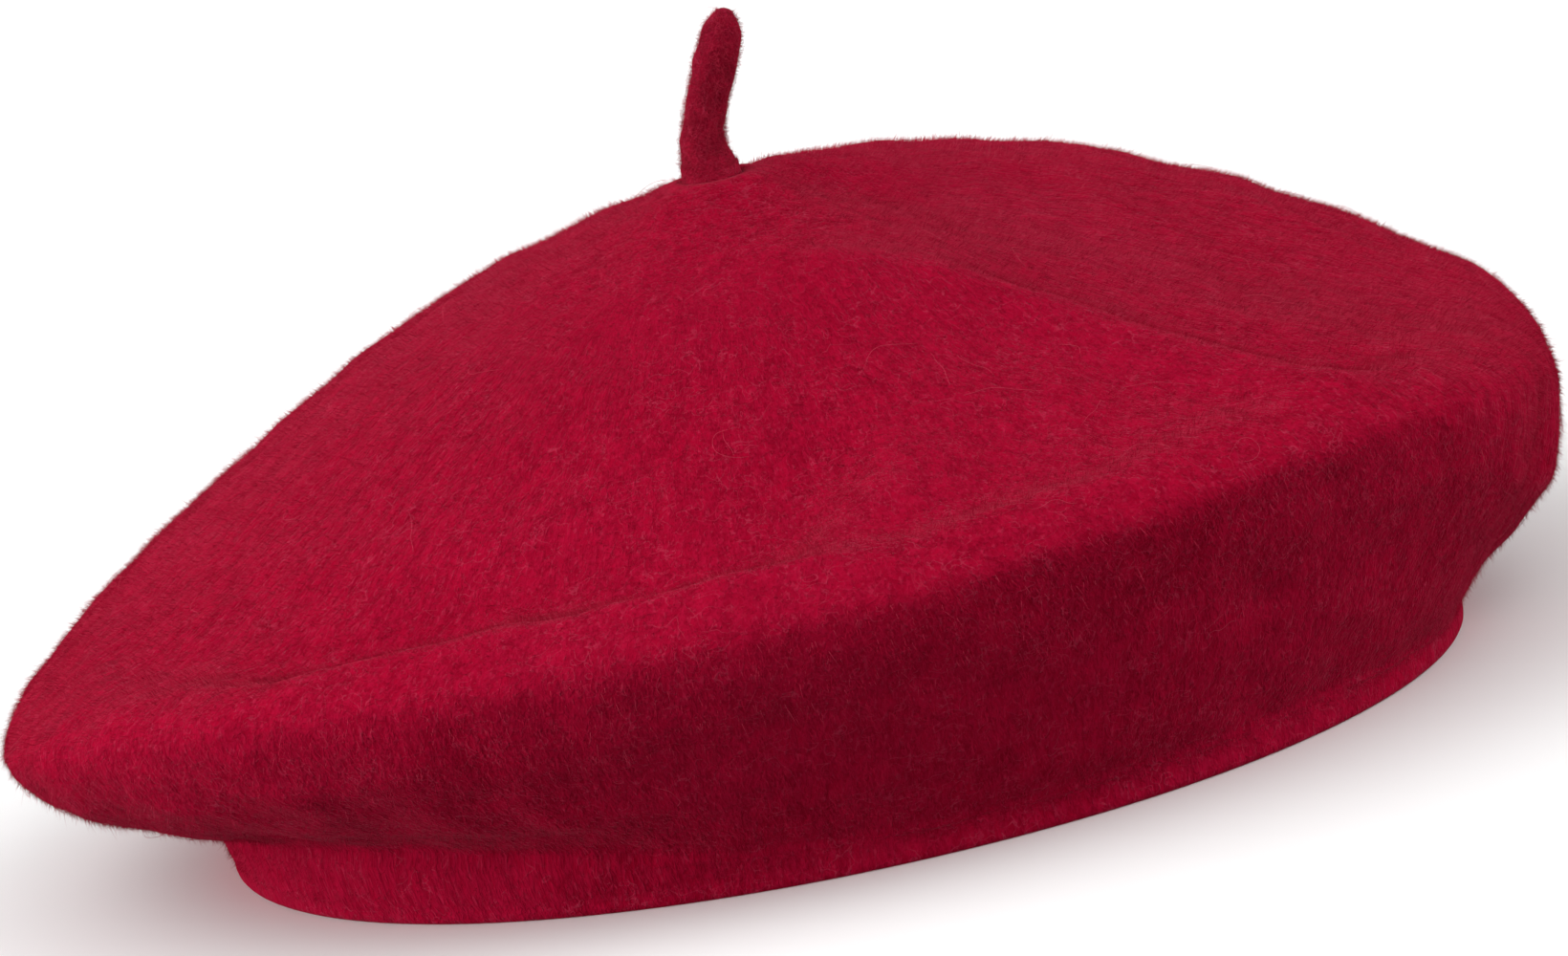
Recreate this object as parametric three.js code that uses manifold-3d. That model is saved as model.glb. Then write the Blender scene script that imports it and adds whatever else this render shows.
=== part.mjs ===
import * as THREE from 'three';
import { mergeVertices } from 'three/addons/utils/BufferGeometryUtils.js';
import Module from 'manifold-3d';

// A felted wool beret with a stalk, standing on the rim of its mouth.
// Millimetres, +Z up. +X is the forehead side and -X the nape side, towards which the crown falls.
// The origin is the middle of the crown's outline, in the plane of the rim.

// Crown and mouth
const CROWN_HALF_LENGTH = 129;
const CROWN_HALF_WIDTH = 116.5;
const MOUTH_HALF_LENGTH = 102;
const MOUTH_HALF_WIDTH = 88.5;
const MOUTH_X = 5;
const MOUTH_FULLNESS = 0.005;
const STALK_X = 2.5;
const FELT = 2.4;
const BAND_HEIGHT = 4.2;

// Heights of the outer skin in eight section planes, 45 degrees apart from +X towards +Y, and how
// far the crown's edge reaches there, against the plain oval of the outline.
// The crown's heights are at CROWN_STATIONS of the way from the stalk out to the edge, and the last
// is the edge itself. The underside's are at UNDER_STATIONS of the way from the edge to the mouth.
const CROWN_STATIONS = [0.16, 0.4, 0.63, 0.83, 0.94, 1];
const UNDER_STATIONS = [0.1, 0.3, 0.55, 0.8, 0.96];
const SECTIONS = [
  { reach: 1, crown: [87.5, 75.5, 62, 51.5, 45.5, 37], under: [21, 15, 11, 8, 5] },
  { reach: 1.12, crown: [92.5, 85.5, 76, 62.5, 52.5, 44.5], under: [35, 27, 18.5, 12.5, 8.5] },
  { reach: 1, crown: [91, 86, 76.5, 66.5, 57, 44], under: [36.5, 27, 18.5, 12.5, 8.5] },
  { reach: 1, crown: [91, 82, 69, 54.5, 44, 33.5], under: [28, 19.5, 16, 12, 8] },
  { reach: 1, crown: [89, 79, 62, 46.5, 37, 28], under: [21, 17, 14, 11.5, 8.5] },
  { reach: 1, crown: [89, 75.5, 59.5, 46.5, 46, 41], under: [31, 24.5, 19.5, 16, 12.5] },
  { reach: 1, crown: [88.5, 74.5, 61.5, 52, 52, 46.5], under: [37.5, 29.5, 20, 11.5, 6.5] },
  { reach: 1, crown: [89, 77, 65, 57.5, 55.5, 50], under: [42.5, 33.5, 22.5, 12, 6.5] },
];

// Soft folds of the crown: each runs along its points, rises by height and fades over its width.
const FOREHEAD_RIDGE = [[4, -25], [26, -34], [54, -47], [77, -64], [95, -78]];
const FOREHEAD_HOLLOW = [[34, -20], [62, -34], [86, -50], [100, -60]];
const SIDE_HOLLOW = [[-84, -74], [-60, -76], [-36, -80], [-15, -90], [0, -86], [10, -68], [22, -54]];
const SIDE_ROLL = [[-88, -88], [-50, -93], [-20, -103], [4, -104], [18, -88], [30, -72]];
const FOLDS = [
  { points: FOREHEAD_RIDGE, height: 3.2, width: 7 },
  { points: FOREHEAD_HOLLOW, height: -2.5, width: 11 },
  { points: SIDE_HOLLOW, height: -3.2, width: 10 },
  { points: SIDE_ROLL, height: 2.2, width: 9 },
];

// An upright tuck in the underside: its turn from 0 to 1, the turn it fades over, its depth, and
// the control rings between which it fades out towards the mouth
const TUCK = { turn: 0.966, width: 0.014, depth: 4, fadeStart: 8.2, fadeEnd: 10.5 };

// Stalk: a round root held in a hole of the crown, and a leaning finger of felt
const STALK_HOLE = 5.8;
const HOLE_Z = 95;
const PIVOT_Z = 93.8;
const ROOT_RADIUS = 5;
const CUP_RADIUS = 6.5;
const CUP_WALL = 1.1;
const CUP_BRIM = { radius: 9.4, top: -4, bottom: -5 };
const BINDING_RING = 4.1;
const BINDING_THREAD = 0.35;
const STALK_LEAN = [[0, 0], [3, 0.4], [10.2, 1.25], [16.1, 3.6], [22.2, 6], [28.4, 7.9]];
const STALK_RADII = [
  [3.9, 3.55], [7, 3.55], [11, 3.6], [16, 3.75], [20, 3.7], [24, 3.4], [26.6, 2.5], [28, 1.1],
];

// Inside of the mouth: each layer stands this far in from the outside of the rim
const TAPE = { inset: 2.8, thickness: 0.5, bottom: 1.2, top: 10.5 };
const SWEATBAND = { inset: 3.7, thickness: 0.8, bottom: 0.8, top: 26 };
const SWEATBAND_GAP_DEG = 0.5;
const JOIN_TAPE = { inset: 2.95, thickness: 0.4, bottom: 11, top: 24.5 };
const JOIN_HALF_DEG = 3;
const STITCH = { inset: 5.2, radius: 0.35, z: 3 };
const SWEATBAND_FACE = SWEATBAND.inset + SWEATBAND.thickness;

// Lining
const LINING_DEPTH = 4.2;
const LINING_SAG = 6.2;
const LINING_SAG_RADIUS = 26;
const LINING = 0.5;
const TIP_END = 3.5;
const SIDE_START = 3.57;
const SIDE_END = 9.8;
const PATCH_END = 1;
const HEM_STITCH_RING = 9.4;
const LINING_THREAD = 0.35;
const PATCH = 0.45;

// Labels and bow
const LABEL_THICKNESS = 0.4;
const LABEL_TOP = 25.2;
const LABEL_EDGE = MOUTH_HALF_WIDTH - SWEATBAND_FACE;
const SIZE_LABEL = { width: 18, height: 15, y: LABEL_EDGE - 1 };
const CARE_LABEL = { width: 28, height: 21, y: 1.5 - LABEL_EDGE };
const BOW_X = MOUTH_X - MOUTH_HALF_LENGTH + SWEATBAND_FACE + 1.4;
const BOW = { z: 15, ribbon: 7, loop: 14, depth: 4, skin: 0.6, tail: 12, tailTurn: 0.45 };
const BOW_KNOT = { x: 2.1, halfDepth: 2.4, halfWidth: 3, halfHeight: 3.65 };

const GAP = 0.35;
const SIDES = 48;

function cloth(color, roughness) {
  return new THREE.MeshStandardMaterial({ color, roughness, metalness: 0 });
}

const FELT_MATERIAL = cloth(0x9c0f2c, 0.95);
const STALK_MATERIAL = cloth(0x86182f, 0.95);
const WOOL_THREAD = cloth(0x7a1026, 0.9);
const THREAD = cloth(0x6e0f22, 0.7);
const SATIN = cloth(0x5c0d1d, 0.35);
const PATCH_CLOTH = cloth(0x8c7a5c, 0.6);
const SWEATBAND_HIDE = cloth(0x1c1716, 0.5);
const RIBBON = cloth(0x2a0a10, 0.6);
const LABEL_CLOTH = cloth(0xe6e2da, 0.7);

const manifold = await Module();
manifold.setup();

// ---------------------------------------------------------------- curves and surfaces

// A smooth value between b and c, with a before them and d after them.
function spline(a, b, c, d, t) {
  const bend = 2 * a - 5 * b + 4 * c - d;
  const turn = 3 * (b - c) + d - a;
  return b + 0.5 * t * (c - a + t * (bend + t * turn));
}

function splineAround(values, turn) {
  const count = values.length;
  const place = ((turn % 1) + 1) % 1 * count;
  const at = Math.floor(place);
  const value = (k) => values[(at + k + count) % count];
  return spline(value(-1), value(0), value(1), value(2), place - at);
}

function splineAlong(points, place) {
  const last = points.length - 1;
  const at = Math.min(Math.floor(place), last - 1);
  const point = (k) => {
    if (k < 0) return points[0].clone().multiplyScalar(2).sub(points[1]);
    if (k > last) return points[last].clone().multiplyScalar(2).sub(points[last - 1]);
    return points[k];
  };
  const [a, b, c, d] = [point(at - 1), point(at), point(at + 1), point(at + 2)];
  const t = place - at;
  return new THREE.Vector3(
    spline(a.x, b.x, c.x, d.x, t),
    spline(a.y, b.y, c.y, d.y, t),
    spline(a.z, b.z, c.z, d.z, t),
  );
}

function smooth(low, high, value) {
  return THREE.MathUtils.smoothstep(value, low, high);
}

// Heights by linear steps through [place, value] pairs.
function stepThrough(pairs, place) {
  for (let i = 1; i < pairs.length; i++) {
    if (place <= pairs[i][0]) {
      const part = (place - pairs[i - 1][0]) / (pairs[i][0] - pairs[i - 1][0]);
      return THREE.MathUtils.lerp(pairs[i - 1][1], pairs[i][1], part);
    }
  }
  return pairs[pairs.length - 1][1];
}

// The mouth is an oval, a little fuller than an ellipse between its axes.
function mouthPoint(angle, inset, z) {
  const cos = Math.cos(angle);
  const sin = Math.sin(angle);
  const fullness = 1 + MOUTH_FULLNESS * Math.sin(2 * angle) ** 2;
  return new THREE.Vector3(
    MOUTH_X + (MOUTH_HALF_LENGTH - inset) * cos * fullness,
    (MOUTH_HALF_WIDTH - inset) * sin * fullness,
    z,
  );
}

// The points where one section, at a turn from 0 to 1, crosses the control rings of the skin.
function sectionPoints(turn) {
  const angle = turn * 2 * Math.PI;
  const cos = Math.cos(angle);
  const sin = Math.sin(angle);
  const root = new THREE.Vector3(STALK_X, 0, 0);
  const reach = splineAround(SECTIONS.map((section) => section.reach), turn);
  const edge = new THREE.Vector3(CROWN_HALF_LENGTH * cos * reach, CROWN_HALF_WIDTH * sin * reach, 0);
  const rim = mouthPoint(angle, 0, 0);
  const points = [new THREE.Vector3(STALK_X + STALK_HOLE * cos, STALK_HOLE * sin, HOLE_Z)];
  CROWN_STATIONS.forEach((part, k) => {
    const point = root.clone().lerp(edge, part);
    point.z = splineAround(SECTIONS.map((section) => section.crown[k]), turn);
    points.push(point);
  });
  UNDER_STATIONS.forEach((part, k) => {
    const point = edge.clone().lerp(rim, part);
    point.z = splineAround(SECTIONS.map((section) => section.under[k]), turn);
    points.push(point);
  });
  points.push(rim.clone().setZ(BAND_HEIGHT), rim.clone());
  return points;
}

const CROWN_RINGS = [0, 0.5, 1, 1.5, 2, 2.5, 3];
const EDGE_RINGS = [3.5, 4, 4.5, 5, 5.5, 6, 6.5, 7, 7.5, 8];
const EDGE_RING = CROWN_STATIONS.length;
const BAND_RING = EDGE_RING + UNDER_STATIONS.length;
const RIM_RING = BAND_RING + 2;

// Height that the folds add over a point of the crown.
function foldHeight(x, y) {
  let height = 0;
  for (const fold of FOLDS) {
    let nearest = Infinity;
    let along = 0;
    for (let i = 1; i < fold.points.length; i++) {
      const [ax, ay] = fold.points[i - 1];
      const [bx, by] = fold.points[i];
      const span = (bx - ax) ** 2 + (by - ay) ** 2;
      const part = THREE.MathUtils.clamp(((x - ax) * (bx - ax) + (y - ay) * (by - ay)) / span, 0, 1);
      const distance = Math.hypot(x - ax - part * (bx - ax), y - ay - part * (by - ay));
      if (distance < nearest) {
        nearest = distance;
        along = (i - 1 + part) / (fold.points.length - 1);
      }
    }
    const ends = smooth(-0.05, 0.25, along) * smooth(-0.05, 0.25, 1 - along);
    height += fold.height * ends * Math.exp(-((nearest / fold.width) ** 2));
  }
  return height;
}

// How far the tuck draws the underside in.
function tuckDepth(ring, turn) {
  const across = ((turn - TUCK.turn + 1.5) % 1 - 0.5) / TUCK.width;
  const start = smooth(EDGE_RING - 0.4, EDGE_RING + 1, ring);
  const along = start * (1 - smooth(TUCK.fadeStart, TUCK.fadeEnd, ring));
  return TUCK.depth * along * Math.exp(-(across ** 2));
}

// A point of the felt's outer skin: ring runs from 0 at the stalk's hole to RIM_RING at the rim.
function skin(ring, turn) {
  const point = splineAlong(sectionPoints(turn), ring);
  const tuck = tuckDepth(ring, turn);
  point.x -= tuck * Math.cos(turn * 2 * Math.PI);
  point.y -= tuck * Math.sin(turn * 2 * Math.PI);
  const crown = 1 - smooth(EDGE_RING - 1.2, EDGE_RING, ring);
  point.z += crown * foldHeight(point.x, point.y);
  if (ring >= RIM_RING) point.z = 0;
  return point;
}

// The same point, moved into the beret by a depth square to the skin.
function skinAt(ring, turn, depth) {
  const point = skin(ring, turn);
  const angle = turn * 2 * Math.PI;
  if (ring === 0) return point.setZ(point.z - depth);
  if (ring > BAND_RING) return point.add(mouthPoint(angle, depth, 0)).sub(mouthPoint(angle, 0, 0));
  const step = 0.02;
  const along = skin(ring + step, turn).sub(skin(Math.max(ring - step, 0), turn));
  const around = skin(ring, turn + step / 10).sub(skin(ring, turn - step / 10));
  const inward = around.cross(along).normalize();
  return point.addScaledVector(inward, depth);
}

function loopAt(sides, place) {
  return Array.from({ length: sides }, (unused, j) => place(j / sides));
}

// ---------------------------------------------------------------- solids

function faceOutward(geometry) {
  const position = geometry.getAttribute('position');
  const index = Array.from(geometry.index.array);
  const [a, b, c] = [new THREE.Vector3(), new THREE.Vector3(), new THREE.Vector3()];
  let volume = 0;
  for (let i = 0; i < index.length; i += 3) {
    a.fromBufferAttribute(position, index[i]);
    b.fromBufferAttribute(position, index[i + 1]);
    c.fromBufferAttribute(position, index[i + 2]);
    volume += a.dot(b.cross(c));
  }
  if (volume < 0) {
    for (let i = 0; i < index.length; i += 3) {
      [index[i + 1], index[i + 2]] = [index[i + 2], index[i + 1]];
    }
    geometry.setIndex(index);
  }
  return geometry;
}

// Skins a row of closed loops, each with as many points. A closed row joins its last loop to its
// first; an open one is capped at both ends by a fan to the middle of the loop.
function loft(loops, closed) {
  const count = loops[0].length;
  const points = loops.flat();
  const index = [];
  const spans = closed ? loops.length : loops.length - 1;
  for (let i = 0; i < spans; i++) {
    const next = (i + 1) % loops.length;
    for (let j = 0; j < count; j++) {
      const a = i * count + j;
      const b = i * count + (j + 1) % count;
      const c = next * count + j;
      const d = next * count + (j + 1) % count;
      index.push(a, b, d, a, d, c);
    }
  }
  if (!closed) {
    for (const [start, flip] of [[0, true], [(loops.length - 1) * count, false]]) {
      const middle = new THREE.Vector3();
      for (let j = 0; j < count; j++) middle.addScaledVector(points[start + j], 1 / count);
      points.push(middle);
      for (let j = 0; j < count; j++) {
        const pair = [start + j, start + (j + 1) % count];
        if (flip) pair.reverse();
        index.push(...pair, points.length - 1);
      }
    }
  }
  const geometry = new THREE.BufferGeometry().setFromPoints(points);
  geometry.setIndex(index);
  return faceOutward(geometry);
}

// A wall that stands round the mouth between two angles, or all the way.
function mouthWall({ inset, thickness, bottom, top }, sides, from = 0, to = 2 * Math.PI) {
  const closed = to - from >= 2 * Math.PI;
  const count = closed ? sides : sides + 1;
  const sections = Array.from({ length: count }, (unused, i) => {
    const angle = from + (to - from) * i / sides;
    return [
      mouthPoint(angle, inset, bottom),
      mouthPoint(angle, inset, top),
      mouthPoint(angle, inset + thickness, top),
      mouthPoint(angle, inset + thickness, bottom),
    ];
  });
  return loft(sections, closed);
}

// A thread of round section along a closed route; route(turn) gives its middle line.
function threadLoop(route, radius, steps, sides) {
  const sections = [];
  for (let i = 0; i < steps; i++) {
    const middle = route(i / steps);
    const ahead = route((i + 0.01) / steps).sub(middle).normalize();
    const level = new THREE.Vector3(0, 0, 1).cross(ahead).normalize();
    const upright = ahead.clone().cross(level);
    sections.push(loopAt(sides, (turn) => middle.clone()
      .addScaledVector(level, radius * Math.cos(turn * 2 * Math.PI))
      .addScaledVector(upright, radius * Math.sin(turn * 2 * Math.PI))));
  }
  return loft(sections, true);
}

function toManifold(geometry) {
  const bare = geometry.clone();
  bare.deleteAttribute('normal');
  bare.deleteAttribute('uv');
  const merged = mergeVertices(bare, 1e-4);
  return new manifold.Manifold(new manifold.Mesh({
    numProp: 3,
    vertProperties: new Float32Array(merged.getAttribute('position').array),
    triVerts: new Uint32Array(merged.index.array),
  }));
}

function fromManifold(solid) {
  const mesh = solid.getMesh();
  const geometry = new THREE.BufferGeometry();
  geometry.setAttribute('position', new THREE.BufferAttribute(mesh.vertProperties, 3));
  geometry.setIndex(new THREE.BufferAttribute(mesh.triVerts, 1));
  return geometry;
}

// ---------------------------------------------------------------- pieces

const group = new THREE.Group();

function addPiece(name, geometry, material) {
  const mesh = new THREE.Mesh(geometry, material);
  mesh.name = name;
  group.add(mesh);
  return mesh;
}

// Crown, underside and band are one seamless piece of felt, open at the mouth and at the stalk.
function feltShell() {
  const rings = [...CROWN_RINGS, ...EDGE_RINGS, 9, 10, 11, 12, RIM_RING];
  const outer = rings.map((ring) => loopAt(SIDES, (turn) => skin(ring, turn)));
  const inner = rings.map((ring) => loopAt(SIDES, (turn) => skinAt(ring, turn, FELT)));
  return loft([...outer, ...inner.reverse()], true);
}

function stalkMiddle(height) {
  return new THREE.Vector3(STALK_X + stepThrough(STALK_LEAN, height), 0, PIVOT_Z + height);
}

function stalkFinger() {
  const sides = 14;
  const profile = [];
  for (let degrees = -75; degrees <= 45; degrees += 15) {
    const angle = THREE.MathUtils.degToRad(degrees);
    profile.push([ROOT_RADIUS * Math.sin(angle), ROOT_RADIUS * Math.cos(angle), true]);
  }
  for (const [height, radius] of STALK_RADII) profile.push([height, radius, false]);
  const loops = profile.map(([height, radius, isRoot]) => {
    const middle = isRoot ? new THREE.Vector3(STALK_X, 0, PIVOT_Z + height) : stalkMiddle(height);
    const up = isRoot ? new THREE.Vector3(0, 0, 1) : stalkMiddle(height + 0.5).sub(middle).normalize();
    const across = new THREE.Vector3(up.z, 0, -up.x);
    return loopAt(sides, (turn) => middle.clone()
      .addScaledVector(across, radius * Math.cos(turn * 2 * Math.PI))
      .addScaledVector(new THREE.Vector3(0, 1, 0), radius * Math.sin(turn * 2 * Math.PI)));
  });
  return loft(loops, false);
}

// A darned cup on the inside of the crown, which holds the stalk's round root.
function stalkAnchor() {
  const outside = CUP_RADIUS + CUP_WALL;
  const profile = [];
  for (let degrees = 90; degrees >= 28; degrees -= 15.5) {
    const angle = THREE.MathUtils.degToRad(degrees);
    profile.push(new THREE.Vector2(CUP_RADIUS * Math.cos(angle), -CUP_RADIUS * Math.sin(angle)));
  }
  profile.push(new THREE.Vector2(CUP_BRIM.radius, CUP_BRIM.top));
  profile.push(new THREE.Vector2(CUP_BRIM.radius, CUP_BRIM.bottom));
  for (let degrees = 36; degrees <= 90; degrees += 13.5) {
    const angle = THREE.MathUtils.degToRad(degrees);
    profile.push(new THREE.Vector2(outside * Math.cos(angle), -outside * Math.sin(angle)));
  }
  profile[0].x = 0;
  profile[profile.length - 1].x = 0;
  const geometry = new THREE.LatheGeometry(profile, 20);
  geometry.rotateX(Math.PI / 2);
  geometry.translate(STALK_X, 0, PIVOT_Z);
  geometry.deleteAttribute('normal');
  geometry.deleteAttribute('uv');
  return faceOutward(mergeVertices(geometry, 1e-4));
}

function stalkBinding() {
  const route = (turn) => new THREE.Vector3(
    STALK_X + BINDING_RING * Math.cos(turn * 2 * Math.PI),
    BINDING_RING * Math.sin(turn * 2 * Math.PI),
    PIVOT_Z - BINDING_RING,
  );
  return threadLoop(route, BINDING_THREAD, 24, 6);
}

// The lining hangs a little below the crown in the middle, where the anchor is.
function liningAt(ring, turn, extra) {
  const above = skin(ring, turn);
  const reach = Math.hypot(above.x - STALK_X, above.y);
  const point = skinAt(ring, turn, LINING_DEPTH + extra);
  point.z -= LINING_SAG * Math.exp(-((reach / LINING_SAG_RADIUS) ** 2));
  return point;
}

function liningRings(rings, extra) {
  return rings.map((ring) => loopAt(SIDES, (turn) => liningAt(ring, turn, extra)));
}

function liningTip() {
  const rings = [...CROWN_RINGS, TIP_END];
  return loft([...liningRings(rings, 0), ...liningRings(rings, LINING).reverse()], false);
}

function liningSide() {
  const rings = [SIDE_START, ...EDGE_RINGS.slice(1), 9, SIDE_END];
  return loft([...liningRings(rings, 0), ...liningRings(rings, LINING).reverse()], true);
}

function liningPatch() {
  const rings = [0, 0.5, PATCH_END];
  const top = liningRings(rings, LINING + GAP);
  return loft([...top, ...liningRings(rings, LINING + GAP + PATCH).reverse()], false);
}

// A thread that runs round the lining on its inner face.
function liningThread(ring) {
  const depth = LINING + GAP + LINING_THREAD;
  return threadLoop((turn) => liningAt(ring, turn, depth), LINING_THREAD, SIDES, 5);
}

function rimStitching() {
  const route = (turn) => mouthPoint(turn * 2 * Math.PI, STITCH.inset, STITCH.z);
  return threadLoop(route, STITCH.radius, 64, 5);
}

function sweatband() {
  const gap = THREE.MathUtils.degToRad(SWEATBAND_GAP_DEG);
  return mouthWall(SWEATBAND, 48, -Math.PI + gap / 2, Math.PI - gap / 2);
}

function joinTape() {
  const half = THREE.MathUtils.degToRad(JOIN_HALF_DEG);
  return mouthWall(JOIN_TAPE, 4, Math.PI - half, Math.PI + half);
}

// A flat ribbon bow: two loops and two tails, held in the middle by a knot.
function bow() {
  const ribbonLoop = (side) => {
    const sections = loopAt(16, (turn) => {
      const angle = turn * 2 * Math.PI;
      const middle = new THREE.Vector3(
        BOW.depth / 2 * (1 + Math.sin(angle)),
        side * (1 + BOW.loop / 2 * (1 - Math.cos(angle))),
        0,
      );
      const out = new THREE.Vector3(Math.sin(angle), -side * Math.cos(angle), 0)
        .multiplyScalar(BOW.skin / 2);
      return [[1, -1], [1, 1], [-1, 1], [-1, -1]].map(([face, edge]) => middle.clone()
        .addScaledVector(out, face)
        .setZ(edge * BOW.ribbon / 2));
    });
    return loft(sections, true);
  };
  const tail = (side) => {
    const strip = new THREE.BoxGeometry(BOW.skin, BOW.ribbon * 0.8, BOW.tail);
    strip.translate(BOW.skin * (side > 0 ? 1.6 : 0.4), 0, -BOW.tail / 2);
    return strip.rotateX(side * BOW.tailTurn);
  };
  const knot = new THREE.SphereGeometry(1, 12, 8)
    .scale(BOW_KNOT.halfDepth, BOW_KNOT.halfWidth, BOW_KNOT.halfHeight)
    .translate(BOW_KNOT.x, 0, 0);
  const solid = [ribbonLoop(1), ribbonLoop(-1), tail(1), tail(-1)]
    .map(toManifold)
    .reduce((whole, part) => whole.add(part), toManifold(knot));
  return fromManifold(solid).translate(BOW_X, 0, BOW.z);
}

function label({ width, height, y }) {
  return new THREE.BoxGeometry(width, LABEL_THICKNESS, height)
    .translate(MOUTH_X, y, LABEL_TOP - height / 2);
}

addPiece('felt_shell', feltShell(), FELT_MATERIAL);
addPiece('stalk', stalkFinger(), STALK_MATERIAL);
addPiece('stalk_binding', stalkBinding(), WOOL_THREAD);
addPiece('stalk_anchor', stalkAnchor(), WOOL_THREAD);
addPiece('stay_tape', mouthWall(TAPE, 48), RIBBON);
addPiece('sweatband', sweatband(), SWEATBAND_HIDE);
addPiece('sweatband_join', joinTape(), RIBBON);
addPiece('sweatband_bow', bow(), RIBBON);
addPiece('rim_stitching', rimStitching(), THREAD);
addPiece('lining_tip', liningTip(), SATIN);
addPiece('lining_side', liningSide(), SATIN);
addPiece('lining_seam', liningThread((TIP_END + SIDE_START) / 2), THREAD);
addPiece('lining_hem_stitching', liningThread(HEM_STITCH_RING), THREAD);
addPiece('lining_patch', liningPatch(), PATCH_CLOTH);
addPiece('size_label', label(SIZE_LABEL), LABEL_CLOTH);
addPiece('care_label', label(CARE_LABEL), LABEL_CLOTH);

export default group;
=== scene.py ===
import math

import bmesh
import bpy
import numpy as np
from mathutils import Matrix, Vector


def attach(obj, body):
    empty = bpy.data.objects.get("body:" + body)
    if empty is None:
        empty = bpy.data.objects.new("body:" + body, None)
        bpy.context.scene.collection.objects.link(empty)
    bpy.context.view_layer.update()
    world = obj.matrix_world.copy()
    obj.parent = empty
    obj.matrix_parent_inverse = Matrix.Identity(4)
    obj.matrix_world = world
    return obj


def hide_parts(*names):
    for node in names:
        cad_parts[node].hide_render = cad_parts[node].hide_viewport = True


# The looks of a felted wool beret: brushed felt with real nap and stray hairs, a felt stalk, and
# inside a satin lining, a leather sweatband with a bow, stitching and blank labels.
# Shapes are worked out in millimetres, in the frame of the CAD part, and made in metres.

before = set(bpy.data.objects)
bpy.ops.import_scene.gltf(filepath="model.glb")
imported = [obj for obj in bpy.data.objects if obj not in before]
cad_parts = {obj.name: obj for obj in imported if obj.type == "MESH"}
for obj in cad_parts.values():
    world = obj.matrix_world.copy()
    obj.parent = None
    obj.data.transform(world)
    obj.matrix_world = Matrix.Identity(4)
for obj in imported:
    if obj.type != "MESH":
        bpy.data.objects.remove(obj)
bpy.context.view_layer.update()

MM = 0.001
TAU = 2 * math.pi

# ------------ the hat's driving sizes

CROWN_HALF_LENGTH = 129.0
CROWN_HALF_WIDTH = 116.5
MOUTH_HALF_LENGTH = 102.0
MOUTH_HALF_WIDTH = 88.5
MOUTH_X = 5.0
MOUTH_FULLNESS = 0.005
FELT = 2.4
BAND_HEIGHT = 4.2
STALK_X = 2.5
STALK_HOLE = 5.8
HOLE_Z = 95.0
PIVOT_Z = 93.8
ROOT_RADIUS = 5.0

# Heights of the outer skin in eight section planes, from +X towards +Y, as the CAD part has them.
CROWN_STATIONS = (0.16, 0.4, 0.63, 0.83, 0.94, 1.0)
UNDER_STATIONS = (0.1, 0.3, 0.55, 0.8, 0.96)
REACH = (1, 1.12, 1, 1, 1, 1, 1, 1)
CROWN_HEIGHTS = (
    (87.5, 75.5, 62, 51.5, 45.5, 37),
    (92.5, 85.5, 76, 62.5, 52.5, 44.5),
    (91, 86, 76.5, 66.5, 57, 44),
    (91, 82, 69, 54.5, 44, 33.5),
    (89, 79, 62, 46.5, 37, 28),
    (89, 75.5, 59.5, 46.5, 46, 41),
    (88.5, 74.5, 61.5, 52, 52, 46.5),
    (89, 77, 65, 57.5, 55.5, 50),
)
UNDER_HEIGHTS = (
    (21, 15, 11, 8, 5),
    (35, 27, 18.5, 12.5, 8.5),
    (36.5, 27, 18.5, 12.5, 8.5),
    (28, 19.5, 16, 12, 8),
    (21, 17, 14, 11.5, 8.5),
    (31, 24.5, 19.5, 16, 12.5),
    (37.5, 29.5, 20, 11.5, 6.5),
    (42.5, 33.5, 22.5, 12, 6.5),
)
EDGE_RING = len(CROWN_STATIONS)
BAND_RING = EDGE_RING + len(UNDER_STATIONS)
RIM_RING = BAND_RING + 2

# Soft folds of the crown: the points each runs along, its height and its width.
FOREHEAD_RIDGE = ((4, -25), (26, -34), (54, -47), (77, -64), (95, -78))
FOREHEAD_HOLLOW = ((34, -20), (62, -34), (86, -50), (100, -60))
SIDE_HOLLOW = ((-84, -74), (-60, -76), (-36, -80), (-15, -90), (0, -86), (10, -68), (22, -54))
SIDE_ROLL = ((-88, -88), (-50, -93), (-20, -103), (4, -104), (18, -88), (30, -72))
FOLDS = (
    (FOREHEAD_RIDGE, 3.2, 7),
    (FOREHEAD_HOLLOW, -2.5, 11),
    (SIDE_HOLLOW, -3.2, 10),
    (SIDE_ROLL, 2.2, 9),
)

# An upright tuck in the underside: its turn from 0 to 1, the turn it fades over, its depth, and
# the control rings between which it fades out towards the mouth.
TUCK_TURN, TUCK_WIDTH, TUCK_DEPTH = 0.966, 0.014, 4
TUCK_FADE = (8.2, 10.5)

LINING_DEPTH = 4.2
LINING = 0.5
LINING_SAG = 6.2
LINING_SAG_RADIUS = 26
TIP_END = 3.5
SIDE_START = 3.57
SIDE_END = 9.8


# ------------ surfaces

def spline(a, b, c, d, t):
    bend = 2 * a - 5 * b + 4 * c - d
    return b + 0.5 * t * (c - a + t * (bend + t * (3 * (b - c) + d - a)))


def spline_around(values, turn):
    """A smooth value at each turn, 0 to 1, from one value for each section plane."""
    values = np.asarray(values, float)
    place = (turn % 1.0) * len(values)
    at = np.floor(place).astype(int)
    near = [values[(at + k) % len(values)] for k in (-1, 0, 1, 2)]
    return spline(*near, place - at)


def smooth(low, high, value):
    t = np.clip((value - low) / (high - low), 0, 1)
    return t * t * (3 - 2 * t)


def stack(x, y, z):
    return np.stack(np.broadcast_arrays(x, y, z), axis=-1).astype(float)


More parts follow.
